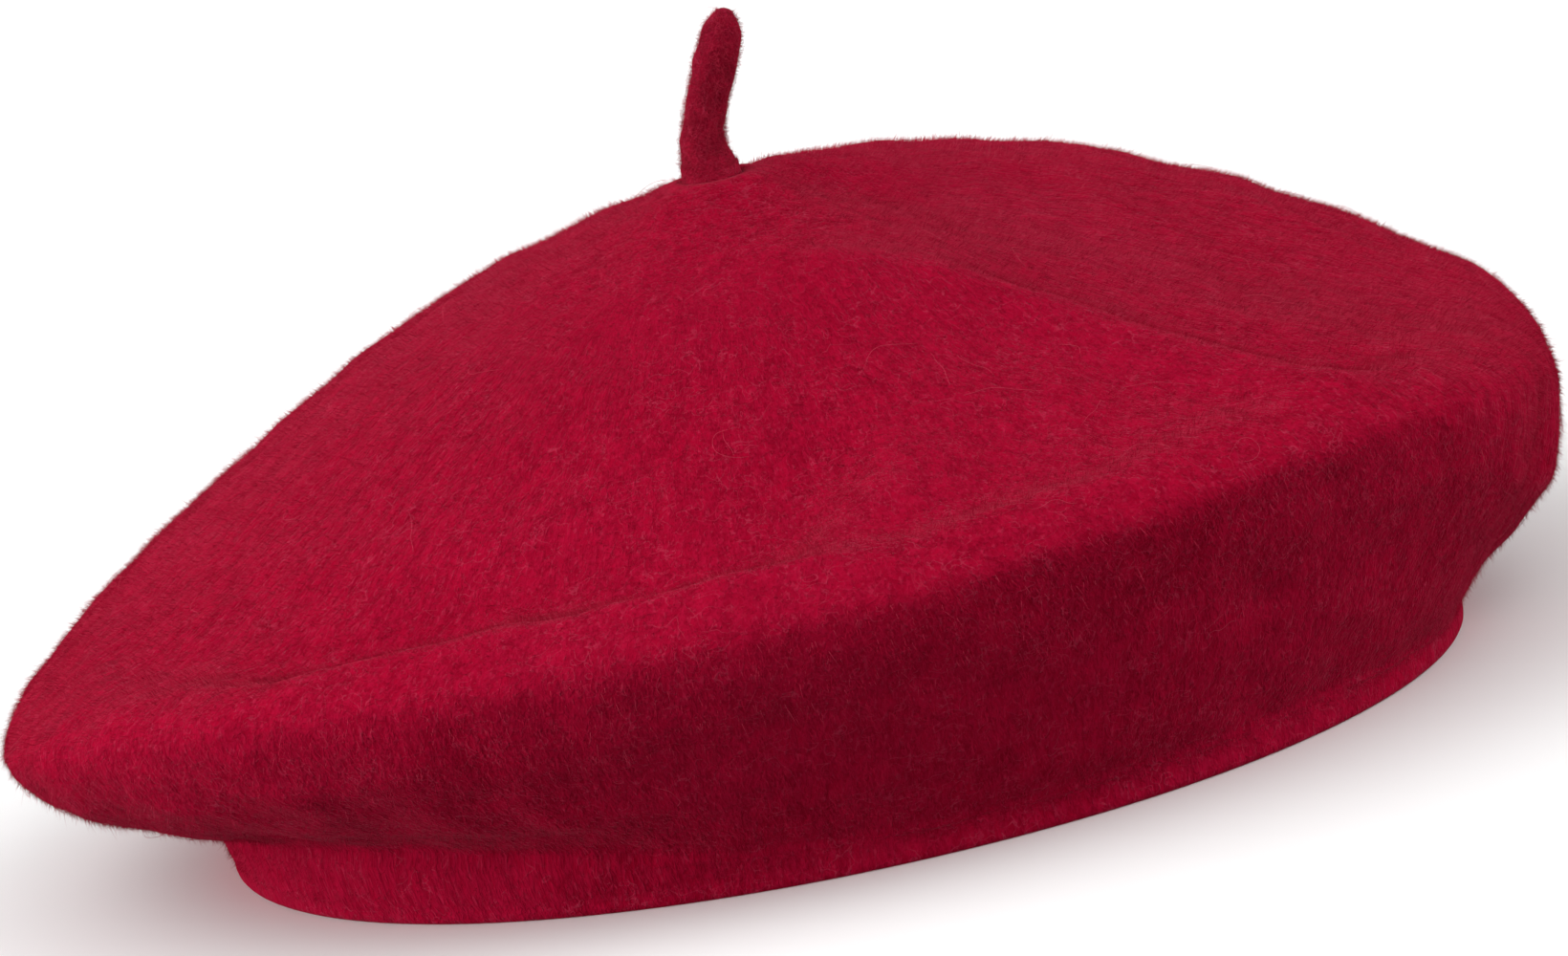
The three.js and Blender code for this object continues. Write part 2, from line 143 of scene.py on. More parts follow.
def unit(vectors):
    return vectors / np.linalg.norm(vectors, axis=-1, keepdims=True)


def turns(columns):
    """Even turns round the hat, from 0 up to 1."""
    return np.arange(columns) / columns


def mouth_point(turn, inset, z):
    """The oval of the mouth, fuller than an ellipse between its axes."""
    cos, sin = np.cos(turn * TAU), np.sin(turn * TAU)
    fullness = 1 + MOUTH_FULLNESS * np.sin(2 * turn * TAU) ** 2
    x = MOUTH_X + (MOUTH_HALF_LENGTH - inset) * cos * fullness
    return stack(x, (MOUTH_HALF_WIDTH - inset) * sin * fullness, z)


def control_rings(turn):
    cos, sin = np.cos(turn * TAU), np.sin(turn * TAU)
    reach = spline_around(REACH, turn)
    root = stack(STALK_X + 0 * cos, 0, 0)
    edge = stack(CROWN_HALF_LENGTH * cos * reach, CROWN_HALF_WIDTH * sin * reach, 0)
    rim = mouth_point(turn, 0, 0)
    rings = [stack(STALK_X + STALK_HOLE * cos, STALK_HOLE * sin, HOLE_Z)]
    for k, part in enumerate(CROWN_STATIONS):
        ring = root + part * (edge - root)
        ring[..., 2] = spline_around([h[k] for h in CROWN_HEIGHTS], turn)
        rings.append(ring)
    for k, part in enumerate(UNDER_STATIONS):
        ring = edge + part * (rim - edge)
        ring[..., 2] = spline_around([h[k] for h in UNDER_HEIGHTS], turn)
        rings.append(ring)
    band = rim.copy()
    band[..., 2] = BAND_HEIGHT
    return np.stack(rings + [band, rim])


def fold_height(x, y):
    height = np.zeros_like(x)
    for points, rise, width in FOLDS:
        nearest = np.full_like(x, 1e9)
        along = np.zeros_like(x)
        for i, ((ax, ay), (bx, by)) in enumerate(zip(points, points[1:])):
            span = (bx - ax) ** 2 + (by - ay) ** 2
            part = np.clip(((x - ax) * (bx - ax) + (y - ay) * (by - ay)) / span, 0, 1)
            gap = np.hypot(x - ax - part * (bx - ax), y - ay - part * (by - ay))
            along = np.where(gap < nearest, (i + part) / (len(points) - 1), along)
            nearest = np.minimum(nearest, gap)
        ends = smooth(-0.05, 0.25, along) * smooth(-0.05, 0.25, 1 - along)
        height += rise * ends * np.exp(-((nearest / width) ** 2))
    return height


def tuck_depth(ring, turn):
    """How far the tuck draws the underside in."""
    across = ((turn - TUCK_TURN + 1.5) % 1 - 0.5) / TUCK_WIDTH
    along = smooth(EDGE_RING - 0.4, EDGE_RING + 1, ring) * (1 - smooth(*TUCK_FADE, ring))
    return TUCK_DEPTH * along * np.exp(-(across**2))


def skin(ring, turn):
    """Points of the felt's outer skin: ring is 0 at the stalk's hole and RIM_RING at the rim."""
    ring, turn = np.broadcast_arrays(np.asarray(ring, float), np.asarray(turn, float))
    rings = control_rings(turn)
    rings = np.concatenate([2 * rings[:1] - rings[1:2], rings, 2 * rings[-1:] - rings[-2:-1]])
    at = np.clip(np.floor(ring).astype(int), 0, RIM_RING - 1)
    near = [np.take_along_axis(rings, (at + k)[None, ..., None], axis=0)[0] for k in range(4)]
    point = spline(*near, (ring - at)[..., None])
    tuck = tuck_depth(ring, turn)
    point[..., 0] -= tuck * np.cos(turn * TAU)
    point[..., 1] -= tuck * np.sin(turn * TAU)
    crown = 1 - smooth(EDGE_RING - 1.2, EDGE_RING, ring)
    point[..., 2] += crown * fold_height(point[..., 0], point[..., 1])
    return point


SKIN_STEP = 0.02


def skin_normal(ring, turn):
    ahead, behind = np.minimum(ring + SKIN_STEP, RIM_RING), np.maximum(ring - SKIN_STEP, 0)
    along = skin(ahead, turn) - skin(behind, turn)
    around = skin(ring, turn + SKIN_STEP / 10) - skin(ring, turn - SKIN_STEP / 10)
    return unit(np.cross(along, around))


def skin_at(ring, turn, depth):
    return skin(ring, turn) - skin_normal(ring, turn) * np.asarray(depth)[..., None]


def lining_at(ring, turn, extra):
    """The lining hangs a little below the crown in the middle."""
    point = skin(ring, turn)
    reach = np.hypot(point[..., 0] - STALK_X, point[..., 1])
    point = skin_at(ring, turn, LINING_DEPTH + extra)
    point[..., 2] -= LINING_SAG * np.exp(-((reach / LINING_SAG_RADIUS) ** 2))
    return point


class Ripple:
    """A smooth random field: a sum of plane waves with wavelengths around a size in millimetres."""

    def __init__(self, size, seed, waves=24):
        random = np.random.default_rng(seed)
        direction = random.normal(size=(waves, 3))
        direction /= np.linalg.norm(direction, axis=1, keepdims=True)
        self.vectors = direction * TAU / (size * random.uniform(0.7, 1.6, (waves, 1)))
        self.phases = random.uniform(0, TAU, waves)
        self.scale = math.sqrt(2 / waves)

    def __call__(self, points):
        return np.sin(points @ self.vectors.T + self.phases).sum(-1) * self.scale


# ------------ meshes

def new_object(name, points, faces, material, smooth_shaded=True):
    """A mesh object from points in millimetres; faces are rows of three or four indices."""
    points = np.asarray(points, float).reshape(-1, 3) * MM
    groups = [np.asarray(group, int) for group in faces if len(group)]
    mesh = bpy.data.meshes.new(name)
    mesh.vertices.add(len(points))
    mesh.vertices.foreach_set("co", points.ravel())
    loops = np.concatenate([group.ravel() for group in groups])
    sizes = np.concatenate([np.full(len(group), group.shape[1]) for group in groups])
    mesh.loops.add(len(loops))
    mesh.loops.foreach_set("vertex_index", loops)
    mesh.polygons.add(len(sizes))
    mesh.polygons.foreach_set("loop_start", np.concatenate([[0], np.cumsum(sizes)[:-1]]))
    mesh.polygons.foreach_set("use_smooth", np.full(len(sizes), smooth_shaded))
    mesh.update(calc_edges=True)
    mesh.validate()
    mesh.materials.append(material)
    obj = bpy.data.objects.new(name, mesh)
    bpy.context.scene.collection.objects.link(obj)
    return obj


def finish_piece(obj, body, node=None):
    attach(obj, body)
    if node:
        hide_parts(node)
    return obj


def grid_faces(rows, columns, wrap_rows, wrap_columns):
    i = np.arange(rows if wrap_rows else rows - 1)[:, None]
    j = np.arange(columns if wrap_columns else columns - 1)[None, :]
    a = i * columns + j
    b = i * columns + (j + 1) % columns
    c = (i + 1) % rows * columns + (j + 1) % columns
    d = (i + 1) % rows * columns + j
    return np.stack([a, b, c, d], axis=-1).reshape(-1, 4)


def add_strip_uv(obj, rows, columns, grid):
    """UVs in metres on a grid that wraps along both ways: u along a row, v from row to row."""
    step_u = np.linalg.norm(np.roll(grid, -1, axis=1) - grid, axis=-1).mean(0)
    step_v = np.linalg.norm(np.diff(grid, axis=0), axis=-1).mean(1)
    u = np.concatenate([[0], np.cumsum(step_u)]) * MM
    v = np.concatenate([[0], np.cumsum(step_v), [step_v.sum()]]) * MM
    layer = obj.data.uv_layers.new(name="UVMap")
    count = len(obj.data.polygons)
    index = np.arange(count)
    i, j = index // columns, index % columns
    corners_u = np.stack([u[j], u[j + 1], u[j + 1], u[j]], axis=-1)
    corners_v = np.stack([v[i], v[i], v[i + 1], v[i + 1]], axis=-1)
    layer.data.foreach_set("uv", np.stack([corners_u, corners_v], axis=-1).ravel())


def face_outward(obj):
    """Turns a closed mesh's faces out."""
    shape = bmesh.new()
    shape.from_mesh(obj.data)
    bmesh.ops.recalc_face_normals(shape, faces=shape.faces)
    shape.to_mesh(obj.data)
    shape.free()
    return obj


def ring_object(name, grid, material):
    """A closed ring-shaped solid from a grid whose rows go round the hat and join last to first."""
    rows, columns = grid.shape[:2]
    obj = new_object(name, grid, [grid_faces(rows, columns, True, True)], material)
    add_strip_uv(obj, rows, columns, grid)
    return face_outward(obj)


def dome_object(name, grid, material):
    """A closed solid from rows that go round the hat, closed over the pole at both ends."""
    rows, columns = grid.shape[:2]
    points = np.concatenate([grid.reshape(-1, 3), [grid[0].mean(0), grid[-1].mean(0)]])
    j = np.arange(columns)
    following = (j + 1) % columns
    first = np.stack([following, j, np.full(columns, rows * columns)], axis=-1)
    base = (rows - 1) * columns
    last = np.stack([base + j, base + following, np.full(columns, rows * columns + 1)], axis=-1)
    faces = [grid_faces(rows, columns, False, True), first, last]
    return face_outward(new_object(name, points, faces, material))


def tube_object(name, paths, radii, sides, material):
    """Closed tapered tubes, one along each path of the same number of points, as one mesh."""
    paths = np.asarray(paths, float)
    count, steps = paths.shape[:2]
    radii = np.broadcast_to(radii, (count, steps))
    ahead = np.gradient(paths, axis=1)
    ahead /= np.linalg.norm(ahead, axis=-1, keepdims=True) + 1e-12
    helper = np.where(np.abs(ahead[..., 2:3]) < 0.9, [0, 0, 1.0], [1.0, 0, 0])
    across = np.cross(ahead, helper)
    across /= np.linalg.norm(across, axis=-1, keepdims=True) + 1e-12
    upright = np.cross(across, ahead)
    angle = np.arange(sides) / sides * TAU
    cos, sin = np.cos(angle)[None, None, :, None], np.sin(angle)[None, None, :, None]
    ring = across[:, :, None] * cos + upright[:, :, None] * sin
    points = paths[:, :, None] + ring * radii[:, :, None, None]
    quads = grid_faces(steps, sides, False, True)
    each = steps * sides
    offset = (np.arange(count) * each)[:, None, None]
    low = np.arange(sides)[::-1][None]
    high = (np.arange(sides) + (steps - 1) * sides)[None]
    caps = np.concatenate([low, high])
    faces = [(quads[None] + offset).reshape(-1, 4), (caps[None] + offset).reshape(-1, sides)]
    return face_outward(new_object(name, points, faces, material))


# ------------ materials

class Nodes:
    """A short way to write a material's node tree."""

    def __init__(self, name):
        self.material = bpy.data.materials.new(name)
        self.material.use_nodes = True
        self.tree = self.material.node_tree
        self.shader = self.tree.nodes["Principled BSDF"]
        self.place = self.tree.nodes.new("ShaderNodeTexCoord")

    def link(self, output, node, socket):
        self.tree.links.new(output, node.inputs[socket])

    def set(self, **values):
        """Constants on the shader's own sockets."""
        names = {
            "roughness": "Roughness",
            "specular": "Specular IOR Level",
            "sheen": "Sheen Weight",
            "sheen_roughness": "Sheen Roughness",
            "sheen_tint": "Sheen Tint",
            "anisotropic": "Anisotropic",
        }
        for key, value in values.items():
            if key == "sheen_tint":
                value = (*value, 1)
            self.shader.inputs[names[key]].default_value = value

    def noise(self, size, detail=3, distortion=0.0, seed=0.0, stretch=None, source="Object", place=None):
        """Noise whose features are size millimetres across."""
        node = self.tree.nodes.new("ShaderNodeTexNoise")
        node.noise_dimensions = "4D"
        node.inputs["W"].default_value = seed
        node.inputs["Scale"].default_value = 1 / (size * MM)
        node.inputs["Detail"].default_value = detail
        node.inputs["Distortion"].default_value = distortion
        place = place or self.place.outputs[source]
        if stretch:
            mapping = self.tree.nodes.new("ShaderNodeMapping")
            mapping.inputs["Scale"].default_value = stretch
            self.tree.links.new(place, mapping.inputs["Vector"])
            place = mapping.outputs["Vector"]
        self.link(place, node, "Vector")
        return node.outputs["Fac"]

    def math(self, operation, a, b=None):
        node = self.tree.nodes.new("ShaderNodeMath")
        node.operation = operation
        for socket, value in enumerate((a, b)):
            if value is None:
                continue
            if isinstance(value, (int, float)):
                node.inputs[socket].default_value = value
            else:
                self.link(value, node, socket)
        return node.outputs[0]

    def ramp(self, value, low, high, to_low=0.0, to_high=1.0):
        node = self.tree.nodes.new("ShaderNodeMapRange")
        node.interpolation_type = "SMOOTHSTEP"
        for socket, number in zip(("From Min", "From Max", "To Min", "To Max"), (low, high, to_low, to_high)):
            node.inputs[socket].default_value = number
        self.link(value, node, "Value")
        return node.outputs["Result"]

    def mix(self, factor, a, b):
        node = self.tree.nodes.new("ShaderNodeMix")
        node.data_type = "RGBA"
        self.link(factor, node, 0)
        for socket, value in ((6, a), (7, b)):
            if isinstance(value, tuple):
                node.inputs[socket].default_value = (*value, 1)
            else:
                self.link(value, node, socket)
        return node.outputs[2]

    def wave(self, pitch, direction):
        """Even ridges, pitch millimetres apart."""
        node = self.tree.nodes.new("ShaderNodeTexWave")
        node.bands_direction = direction
        node.inputs["Scale"].default_value = TAU / 20 / (pitch * MM)
        node.inputs["Distortion"].default_value = 0
        node.inputs["Detail"].default_value = 0
        self.link(self.place.outputs["Object"], node, "Vector")
        return node.outputs["Fac"]

    def colour(self, output):
        self.link(output, self.shader, "Base Color")

    def bump(self, height, depth, strength=1.0):
        """Adds relief of depth millimetres to what is already there."""
        node = self.tree.nodes.new("ShaderNodeBump")
        node.inputs["Strength"].default_value = strength
        node.inputs["Distance"].default_value = depth * MM
        self.link(height, node, "Height")
        before = self.shader.inputs["Normal"].links
        if before:
            self.link(before[0].from_socket, node, "Normal")
        self.link(node.outputs["Normal"], self.shader, "Normal")


# The brushed look: how wide its noise is spread round the hat, how far it is drawn out, and the
# distances from the stalk, in metres, between which it takes over from even noise.
BRUSH_REACH = 80
BRUSH_STRETCH = 2.6
BRUSH_START, BRUSH_FULL = 0.022, 0.048


class BrushedNoise:
    """Noise drawn out along the nap, away from the stalk; close to the stalk it is even noise."""

    def __init__(self, nodes):
        self.nodes = nodes
        tree = nodes.tree
        split = tree.nodes.new("ShaderNodeSeparateXYZ")
        tree.links.new(nodes.place.outputs["Object"], split.inputs[0])
        profile = tree.nodes.new("ShaderNodeSeparateXYZ")
        tree.links.new(nodes.place.outputs["UV"], profile.inputs[0])
        x, y = split.outputs[0], split.outputs[1]
        squares = [nodes.math("MULTIPLY", side, side) for side in (x, y)]
        away = nodes.math("SQRT", nodes.math("ADD", *squares))
        away = nodes.math("MAXIMUM", away, MM)
        around = tree.nodes.new("ShaderNodeCombineXYZ")
        for socket, value in enumerate((x, y)):
            way = nodes.math("DIVIDE", value, away)
            nodes.link(nodes.math("MULTIPLY", way, BRUSH_REACH * MM), around, socket)
        nodes.link(nodes.math("MULTIPLY", profile.outputs[1], 1 / BRUSH_STRETCH), around, 2)
        self.place = around.outputs[0]
        self.share = nodes.ramp(away, BRUSH_START, BRUSH_FULL)

    def __call__(self, size, **settings):
        even = self.nodes.noise(size, **settings)
        drawn = self.nodes.noise(size, place=self.place, **settings)
        step = self.nodes.math("MULTIPLY", self.nodes.math("SUBTRACT", drawn, even), self.share)
        return self.nodes.math("ADD", even, step)


def fibre_lines(nodes, size, width, seed):
    """Thin curling lines, like single hairs of wool that lie on the felt; the felt paints them lighter, as
    highlights of hairs catching the light.
    """
    field = nodes.noise(size, detail=1.5, distortion=1.2, seed=seed)
    gap = nodes.math("ABSOLUTE", nodes.math("SUBTRACT", field, 0.5))
    line = nodes.ramp(gap, 0.0, width, 1.0, 0.0)
    patches = nodes.ramp(nodes.noise(size * 1.7, detail=1, seed=seed + 7), 0.46, 0.62)
    return nodes.math("MULTIPLY", line, patches)


# The fibre lines' colour is lighter and pinker than the felt: a painted highlight of wool hairs catching the
# light.
FIBRE_GLINT_COLOUR = (0.44, 0.040, 0.085)
TUFT_COLOUR = (0.42, 0.022, 0.062)
FELT_SHEEN_TINT = (1.0, 0.36, 0.48)


def felt_material(name, body, dark, light, combed):
    nodes = Nodes(name)
    clouds = nodes.ramp(nodes.noise(38, detail=2, seed=1.0), 0.3, 0.7)
    noise = BrushedNoise(nodes) if combed else nodes.noise
    mottle = nodes.ramp(noise(1.7, detail=3, distortion=0.6, seed=2.0), 0.32, 0.68)
    grain = nodes.ramp(noise(0.42, detail=2, distortion=0.8, seed=3.0), 0.34, 0.66)
    tufts = nodes.ramp(noise(0.55, detail=1, seed=4.0), 0.60, 0.72)
    colour = nodes.mix(mottle, dark, body)
    colour = nodes.mix(nodes.math("MULTIPLY", grain, 0.45), colour, light)
    colour = nodes.mix(nodes.math("MULTIPLY", clouds, 0.18), colour, light)
    first = fibre_lines(nodes, 4.5, 0.012, 11.0)
    lines = nodes.math("MAXIMUM", first, fibre_lines(nodes, 3.1, 0.016, 23.0))
    lines = nodes.math("MAXIMUM", lines, fibre_lines(nodes, 6.5, 0.008, 31.0))
    # Fibre lines: wool hairs that lie on the felt, painted lighter as highlights where they catch the light.
    colour = nodes.mix(nodes.math("MULTIPLY", lines, 0.4), colour, FIBRE_GLINT_COLOUR)
    colour = nodes.mix(nodes.math("MULTIPLY", tufts, 0.35), colour, TUFT_COLOUR)
    nodes.colour(colour)
    nodes.bump(mottle, 0.3, 0.5)
    nodes.bump(grain, 0.18, 0.7)
    nodes.bump(tufts, 0.12, 0.6)
    nodes.bump(lines, 0.08, 0.5)
    nodes.set(roughness=1.0, specular=0.0)
    nodes.set(sheen=0.13, sheen_roughness=0.22, sheen_tint=FELT_SHEEN_TINT)
    return nodes.material


def nap_material(name, colour):
    nodes = Nodes(name)
    shade = nodes.ramp(nodes.noise(3.0, detail=2, seed=5.0), 0.3, 0.7)
    nodes.colour(nodes.mix(shade, tuple(0.75 * c for c in colour), tuple(1.15 * c for c in colour)))
    nodes.bump(nodes.noise(0.2, detail=1, seed=6.0), 0.01)
    nodes.set(roughness=1.0, specular=0.0, sheen=0.0)
    return nodes.material


def satin_material(name, source):
    nodes = Nodes(name)
    floats = nodes.noise(1.2, detail=2, seed=1.0, stretch=(1, 14, 1), source=source)
    slubs = nodes.noise(9, detail=2, seed=2.0, stretch=(1, 6, 1), source=source)
    nodes.colour(nodes.mix(nodes.ramp(slubs, 0.3, 0.7), (0.075, 0.003, 0.009), (0.115, 0.006, 0.015)))
    nodes.bump(floats, 0.03, 0.5)
    nodes.set(roughness=0.32, specular=0.55, anisotropic=0.6, sheen=0.15, sheen_tint=(1.0, 0.4, 0.5))
    return nodes.material


def leather_material():
    nodes = Nodes("sweatband_leather")
    cell = nodes.tree.nodes.new("ShaderNodeTexVoronoi")
    cell.feature = "DISTANCE_TO_EDGE"
    cell.inputs["Scale"].default_value = 1 / (0.9 * MM)
    nodes.link(nodes.place.outputs["Object"], cell, "Vector")
    grain = nodes.ramp(cell.outputs["Distance"], 0.0, 0.16)
    wear = nodes.ramp(nodes.noise(14, detail=3, seed=1.0), 0.35, 0.7)
    nodes.colour(nodes.mix(wear, (0.012, 0.009, 0.008), (0.024, 0.018, 0.015)))
    nodes.link(nodes.ramp(wear, 0, 1, 0.42, 0.58), nodes.shader, "Roughness")
    nodes.bump(grain, 0.06, 0.6)
    nodes.set(specular=0.4)
    return nodes.material


def ribbon_material():
    """Grosgrain: close ribs across the ribbon, and fine warp threads along it."""
    nodes = Nodes("grosgrain_ribbon")
    ribs = nodes.wave(0.7, "X")
    cross = nodes.wave(0.7, "Y")
    weave = nodes.math("MAXIMUM", ribs, cross)
    nodes.colour(nodes.mix(weave, (0.010, 0.002, 0.003), (0.030, 0.006, 0.009)))
    nodes.bump(weave, 0.12, 0.6)
    nodes.set(roughness=0.6, specular=0.35, sheen=0.2, sheen_tint=(1.0, 0.6, 0.7))
    return nodes.material


def thread_material(name, dark, light):
    nodes = Nodes(name)
    twist = nodes.noise(0.5, detail=2, distortion=1.0, seed=4.0)
    nodes.colour(nodes.mix(nodes.ramp(twist, 0.35, 0.65), dark, light))
    nodes.bump(twist, 0.08, 0.6)
    nodes.set(roughness=0.55, specular=0.4, sheen=0.2)
    return nodes.material


def woven_material(name, dark, light, pitch):
    nodes = Nodes(name)
    warp = nodes.wave(pitch, "X")
    weft = nodes.wave(pitch, "Z")
    weave = nodes.math("MULTIPLY", warp, weft)
    tint = nodes.noise(3, detail=2, seed=8.0)
    shade = nodes.math("MULTIPLY", weave, nodes.ramp(tint, 0.3, 0.7, 0.7, 1.0))
    nodes.colour(nodes.mix(shade, dark, light))
    nodes.bump(weave, 0.06, 0.6)
    nodes.set(roughness=0.65, specular=0.3, sheen=0.15)
    return nodes.material


crown_felt = felt_material(
    "crown_felt", (0.304, 0.0017, 0.019), (0.205, 0.0010, 0.012), (0.37, 0.006, 0.036), True
)
stalk_felt = felt_material(
    "stalk_felt", (0.26, 0.004, 0.020), (0.175, 0.002, 0.013), (0.34, 0.012, 0.038), False
)
nap = nap_material("wool_nap", (0.345, 0.0080, 0.033))
stalk_nap = nap_material("stalk_nap", (0.37, 0.020, 0.048))
# A lighter, pinker wool for some of the nap and for the long stray hairs: a painted highlight of hairs
# catching the light.
painted_glint_wool = nap_material("painted_glint_wool", (0.46, 0.045, 0.085))
satin_flat = satin_material("satin_flat", "Object")
satin_strip = satin_material("satin_strip", "UV")
leather = leather_material()
grosgrain = ribbon_material()
wool_yarn = thread_material("wool_yarn", (0.13, 0.002, 0.010), (0.24, 0.005, 0.020))
sewing_thread = thread_material("sewing_thread", (0.11, 0.002, 0.009), (0.21, 0.006, 0.018))
label_cloth = woven_material("label_cloth", (0.50, 0.47, 0.42), (0.80, 0.77, 0.71), 0.5)
patch_cloth = woven_material("patch_cloth", (0.20, 0.15, 0.09), (0.34, 0.27, 0.17), 0.6)


# ------------ felt crown

felt_lumps = Ripple(17, seed=3)
felt_dents = Ripple(6, seed=5)


def felt_relief(points):
    """Small unevenness of felt that was blocked by hand, in millimetres."""
    return 0.22 * felt_lumps(points) + 0.07 * felt_dents(points)


HEM_PROUD = 1.3


def hem_ledge(ring, turn):
    """The doubled hem stands proud of the underside along the nape side, and fades to the front."""
    foot = 1 - smooth(BAND_RING + 0.5, RIM_RING, ring)
    upright = smooth(BAND_RING - 0.05, BAND_RING + 0.3, ring) * foot
    around = smooth(0.5, 0.6, turn) * (1 - smooth(0.67, 0.75, turn))
    return HEM_PROUD * upright * (0.25 + 0.75 * around)


def felt_outside(ring, turn):
    ring, turn = np.broadcast_arrays(np.asarray(ring, float), np.asarray(turn, float) % 1)
    point = skin(ring, turn)
    calm = 1 - smooth(BAND_RING, RIM_RING - 0.6, ring)
    relief = felt_relief(point) * calm * smooth(0, 0.3, ring) + hem_ledge(ring, turn)
    return point + skin_normal(ring, turn) * relief[..., None]


def make_felt():
    """The outer skin from the stalk's hole to the rim, the rounded rim, and the inner skin back."""
    columns = 320
    turn = turns(columns)
    rows = []
    for radius, drop in ((3.4, 3.2), (4.1, 1.9), (4.7, 0.9), (5.2, 0.3)):
        rows.append(stack(STALK_X + radius * np.cos(turn * TAU), radius * np.sin(turn * TAU), HOLE_Z - drop))
    rings = np.concatenate([
        np.linspace(0, 4, 62)[1:], np.linspace(4, 7.5, 56)[1:],
        np.linspace(7.5, BAND_RING, 32)[1:], np.linspace(BAND_RING, RIM_RING - 0.3, 14)[1:],
    ])
    for ring in rings:
        rows.append(felt_outside(np.full(columns, ring), turn))
    for angle in np.linspace(0, math.pi, 9)[1:-1]:
        inset = FELT / 2 * (1 - math.cos(angle))
        rows.append(mouth_point(turn, inset, FELT / 2 * (1 - math.sin(angle))))
    rings = np.concatenate([
        np.linspace(RIM_RING - 0.3, BAND_RING + 0.01, 6),
        np.linspace(BAND_RING - 0.4, 4, 34),
        np.linspace(3.8, 0.4, 14),
    ])
    for ring in rings:
        if ring > BAND_RING:
            height = skin(np.full(columns, ring), turn)[..., 2]
            rows.append(mouth_point(turn, FELT, height))
        else:
            rows.append(skin_at(np.full(columns, ring), turn, np.full(columns, FELT)))
    felt = ring_object("felt_crown", np.stack(rows), crown_felt)
    finish_piece(felt, "hat", "felt_shell")


# ------------ nap and stray hairs

NAP_LEAN = 0.9
NAP_FOOT = 0.15


def random_skin_places(density, low, high, random):
    """Random rings and turns, so many to a square millimetre of the skin between two rings."""
    rings = np.linspace(low, high, 90)
    turns = np.linspace(0, 1, 129)[:-1]
    grid = skin(rings[:, None], turns[None, :])
    along = np.linalg.norm(np.diff(grid, axis=0), axis=-1)
    around = np.linalg.norm(np.roll(grid, -1, axis=1) - grid, axis=-1)[:-1]
    area = (along * around).ravel()
    count = int(density * area.sum())
    cell = random.choice(len(area), count, p=area / area.sum())
    i, j = cell // len(turns), cell % len(turns)
    ring = rings[i] + random.random(count) * (rings[1] - rings[0])
    return ring, (j + random.random(count)) / len(turns)


def frames_on(normal, random, comb=None):
    """A tangent for each normal, random or near the comb's direction, and the direction across it."""
    tangent = unit(np.cross(normal, random.normal(size=normal.shape)))
    if comb is not None:
        tangent = unit(comb + tangent * random.uniform(0.1, 1.1, (len(normal), 1)))
    return tangent, np.cross(normal, tangent)


def downhill(ring, turn):
    """The direction on the skin away from the stalk, in which the nap is brushed."""
    ahead, behind = np.minimum(ring + SKIN_STEP, RIM_RING), np.maximum(ring - SKIN_STEP, 0)
    return unit(skin(ahead, turn) - skin(behind, turn))


def bristles(name, root, normal, length, width, random, material, comb=None):
    """Short tapering hairs: each is a closed spike of four faces."""
    count = len(root)
    tangent, across = frames_on(normal, random, comb)
    size = length * random.lognormal(0, 0.38, count)[:, None]
    tip = root + normal * size + tangent * size * NAP_LEAN * random.uniform(0.2, 1.6, (count, 1))
    foot = root - normal * NAP_FOOT
    angle = np.array([0, 1, 2]) / 3 * TAU
    cos, sin = np.cos(angle)[None, :, None], np.sin(angle)[None, :, None]
    ring = tangent[:, None] * cos + across[:, None] * sin
    base = foot[:, None] + ring * width * random.uniform(0.7, 1.3, (count, 1, 1))
    points = np.concatenate([base, tip[:, None]], axis=1)
    faces = np.array([[2, 1, 0], [0, 1, 3], [1, 2, 3], [2, 0, 3]])
    faces = (faces[None] + 4 * np.arange(count)[:, None, None]).reshape(-1, 3)
    return new_object(name, points, [faces], material, smooth_shaded=False)


# Nap pieces: name, hairs to a square millimetre, first and last ring, length, width and wool.
NAP_PIECES = (
    ("nap_top", 3.0, 0.2, 2.4, 0.75, 0.036, nap),
    ("nap_slope", 3.0, 2.4, 3.4, 0.75, 0.036, nap),
    ("nap_brow", 3.0, 3.4, 4.5, 0.8, 0.036, nap),
    ("nap_edge", 3.0, 4.5, 6.2, 0.8, 0.036, nap),
    ("nap_turn", 2.6, 6.2, 8.4, 0.7, 0.036, nap),
    ("nap_underside", 2.4, 8.4, 12.2, 0.6, 0.036, nap),
    # Lighter hairs among the nap, in the lighter wool: painted highlights of hairs catching the light.
    ("nap_painted_glints", 0.28, 0.2, 8.0, 0.85, 0.03, painted_glint_wool),
)


def make_nap():
    random = np.random.default_rng(11)
    for name, density, low, high, length, width, material in NAP_PIECES:
        ring, turn = random_skin_places(density, low, high, random)
        normal = skin_normal(ring, turn)
        comb = downhill(ring, turn)
        root = felt_outside(ring, turn)
        obj = bristles(name, root, normal, length, width, random, material, comb)
        finish_piece(obj, "hat")


def curling_paths(root, normal, length, curl, lift, steps, random):
    """Paths that wander over the surface from their roots, rising and falling a little."""
    count = len(root)
    tangent, across = frames_on(normal, random)
    heading = np.zeros(count)
    turning = random.normal(0, curl, count)
    path = [root.copy()]
    rise = lift * random.uniform(0.3, 1.0, count)
    for step in range(1, steps):
        turning = 0.75 * turning + 0.35 * random.normal(0, curl, count)
        heading = heading + turning
        move = tangent * np.cos(heading)[:, None] + across * np.sin(heading)[:, None]
        path.append(path[-1] + move * (length / (steps - 1))[:, None])
    path = np.stack(path, axis=1)
    s = np.linspace(0, 1, steps)
    height = np.sin(s * math.pi * 0.8)[None, :] * rise[:, None] + 0.02
    return path + normal[:, None] * height[..., None]


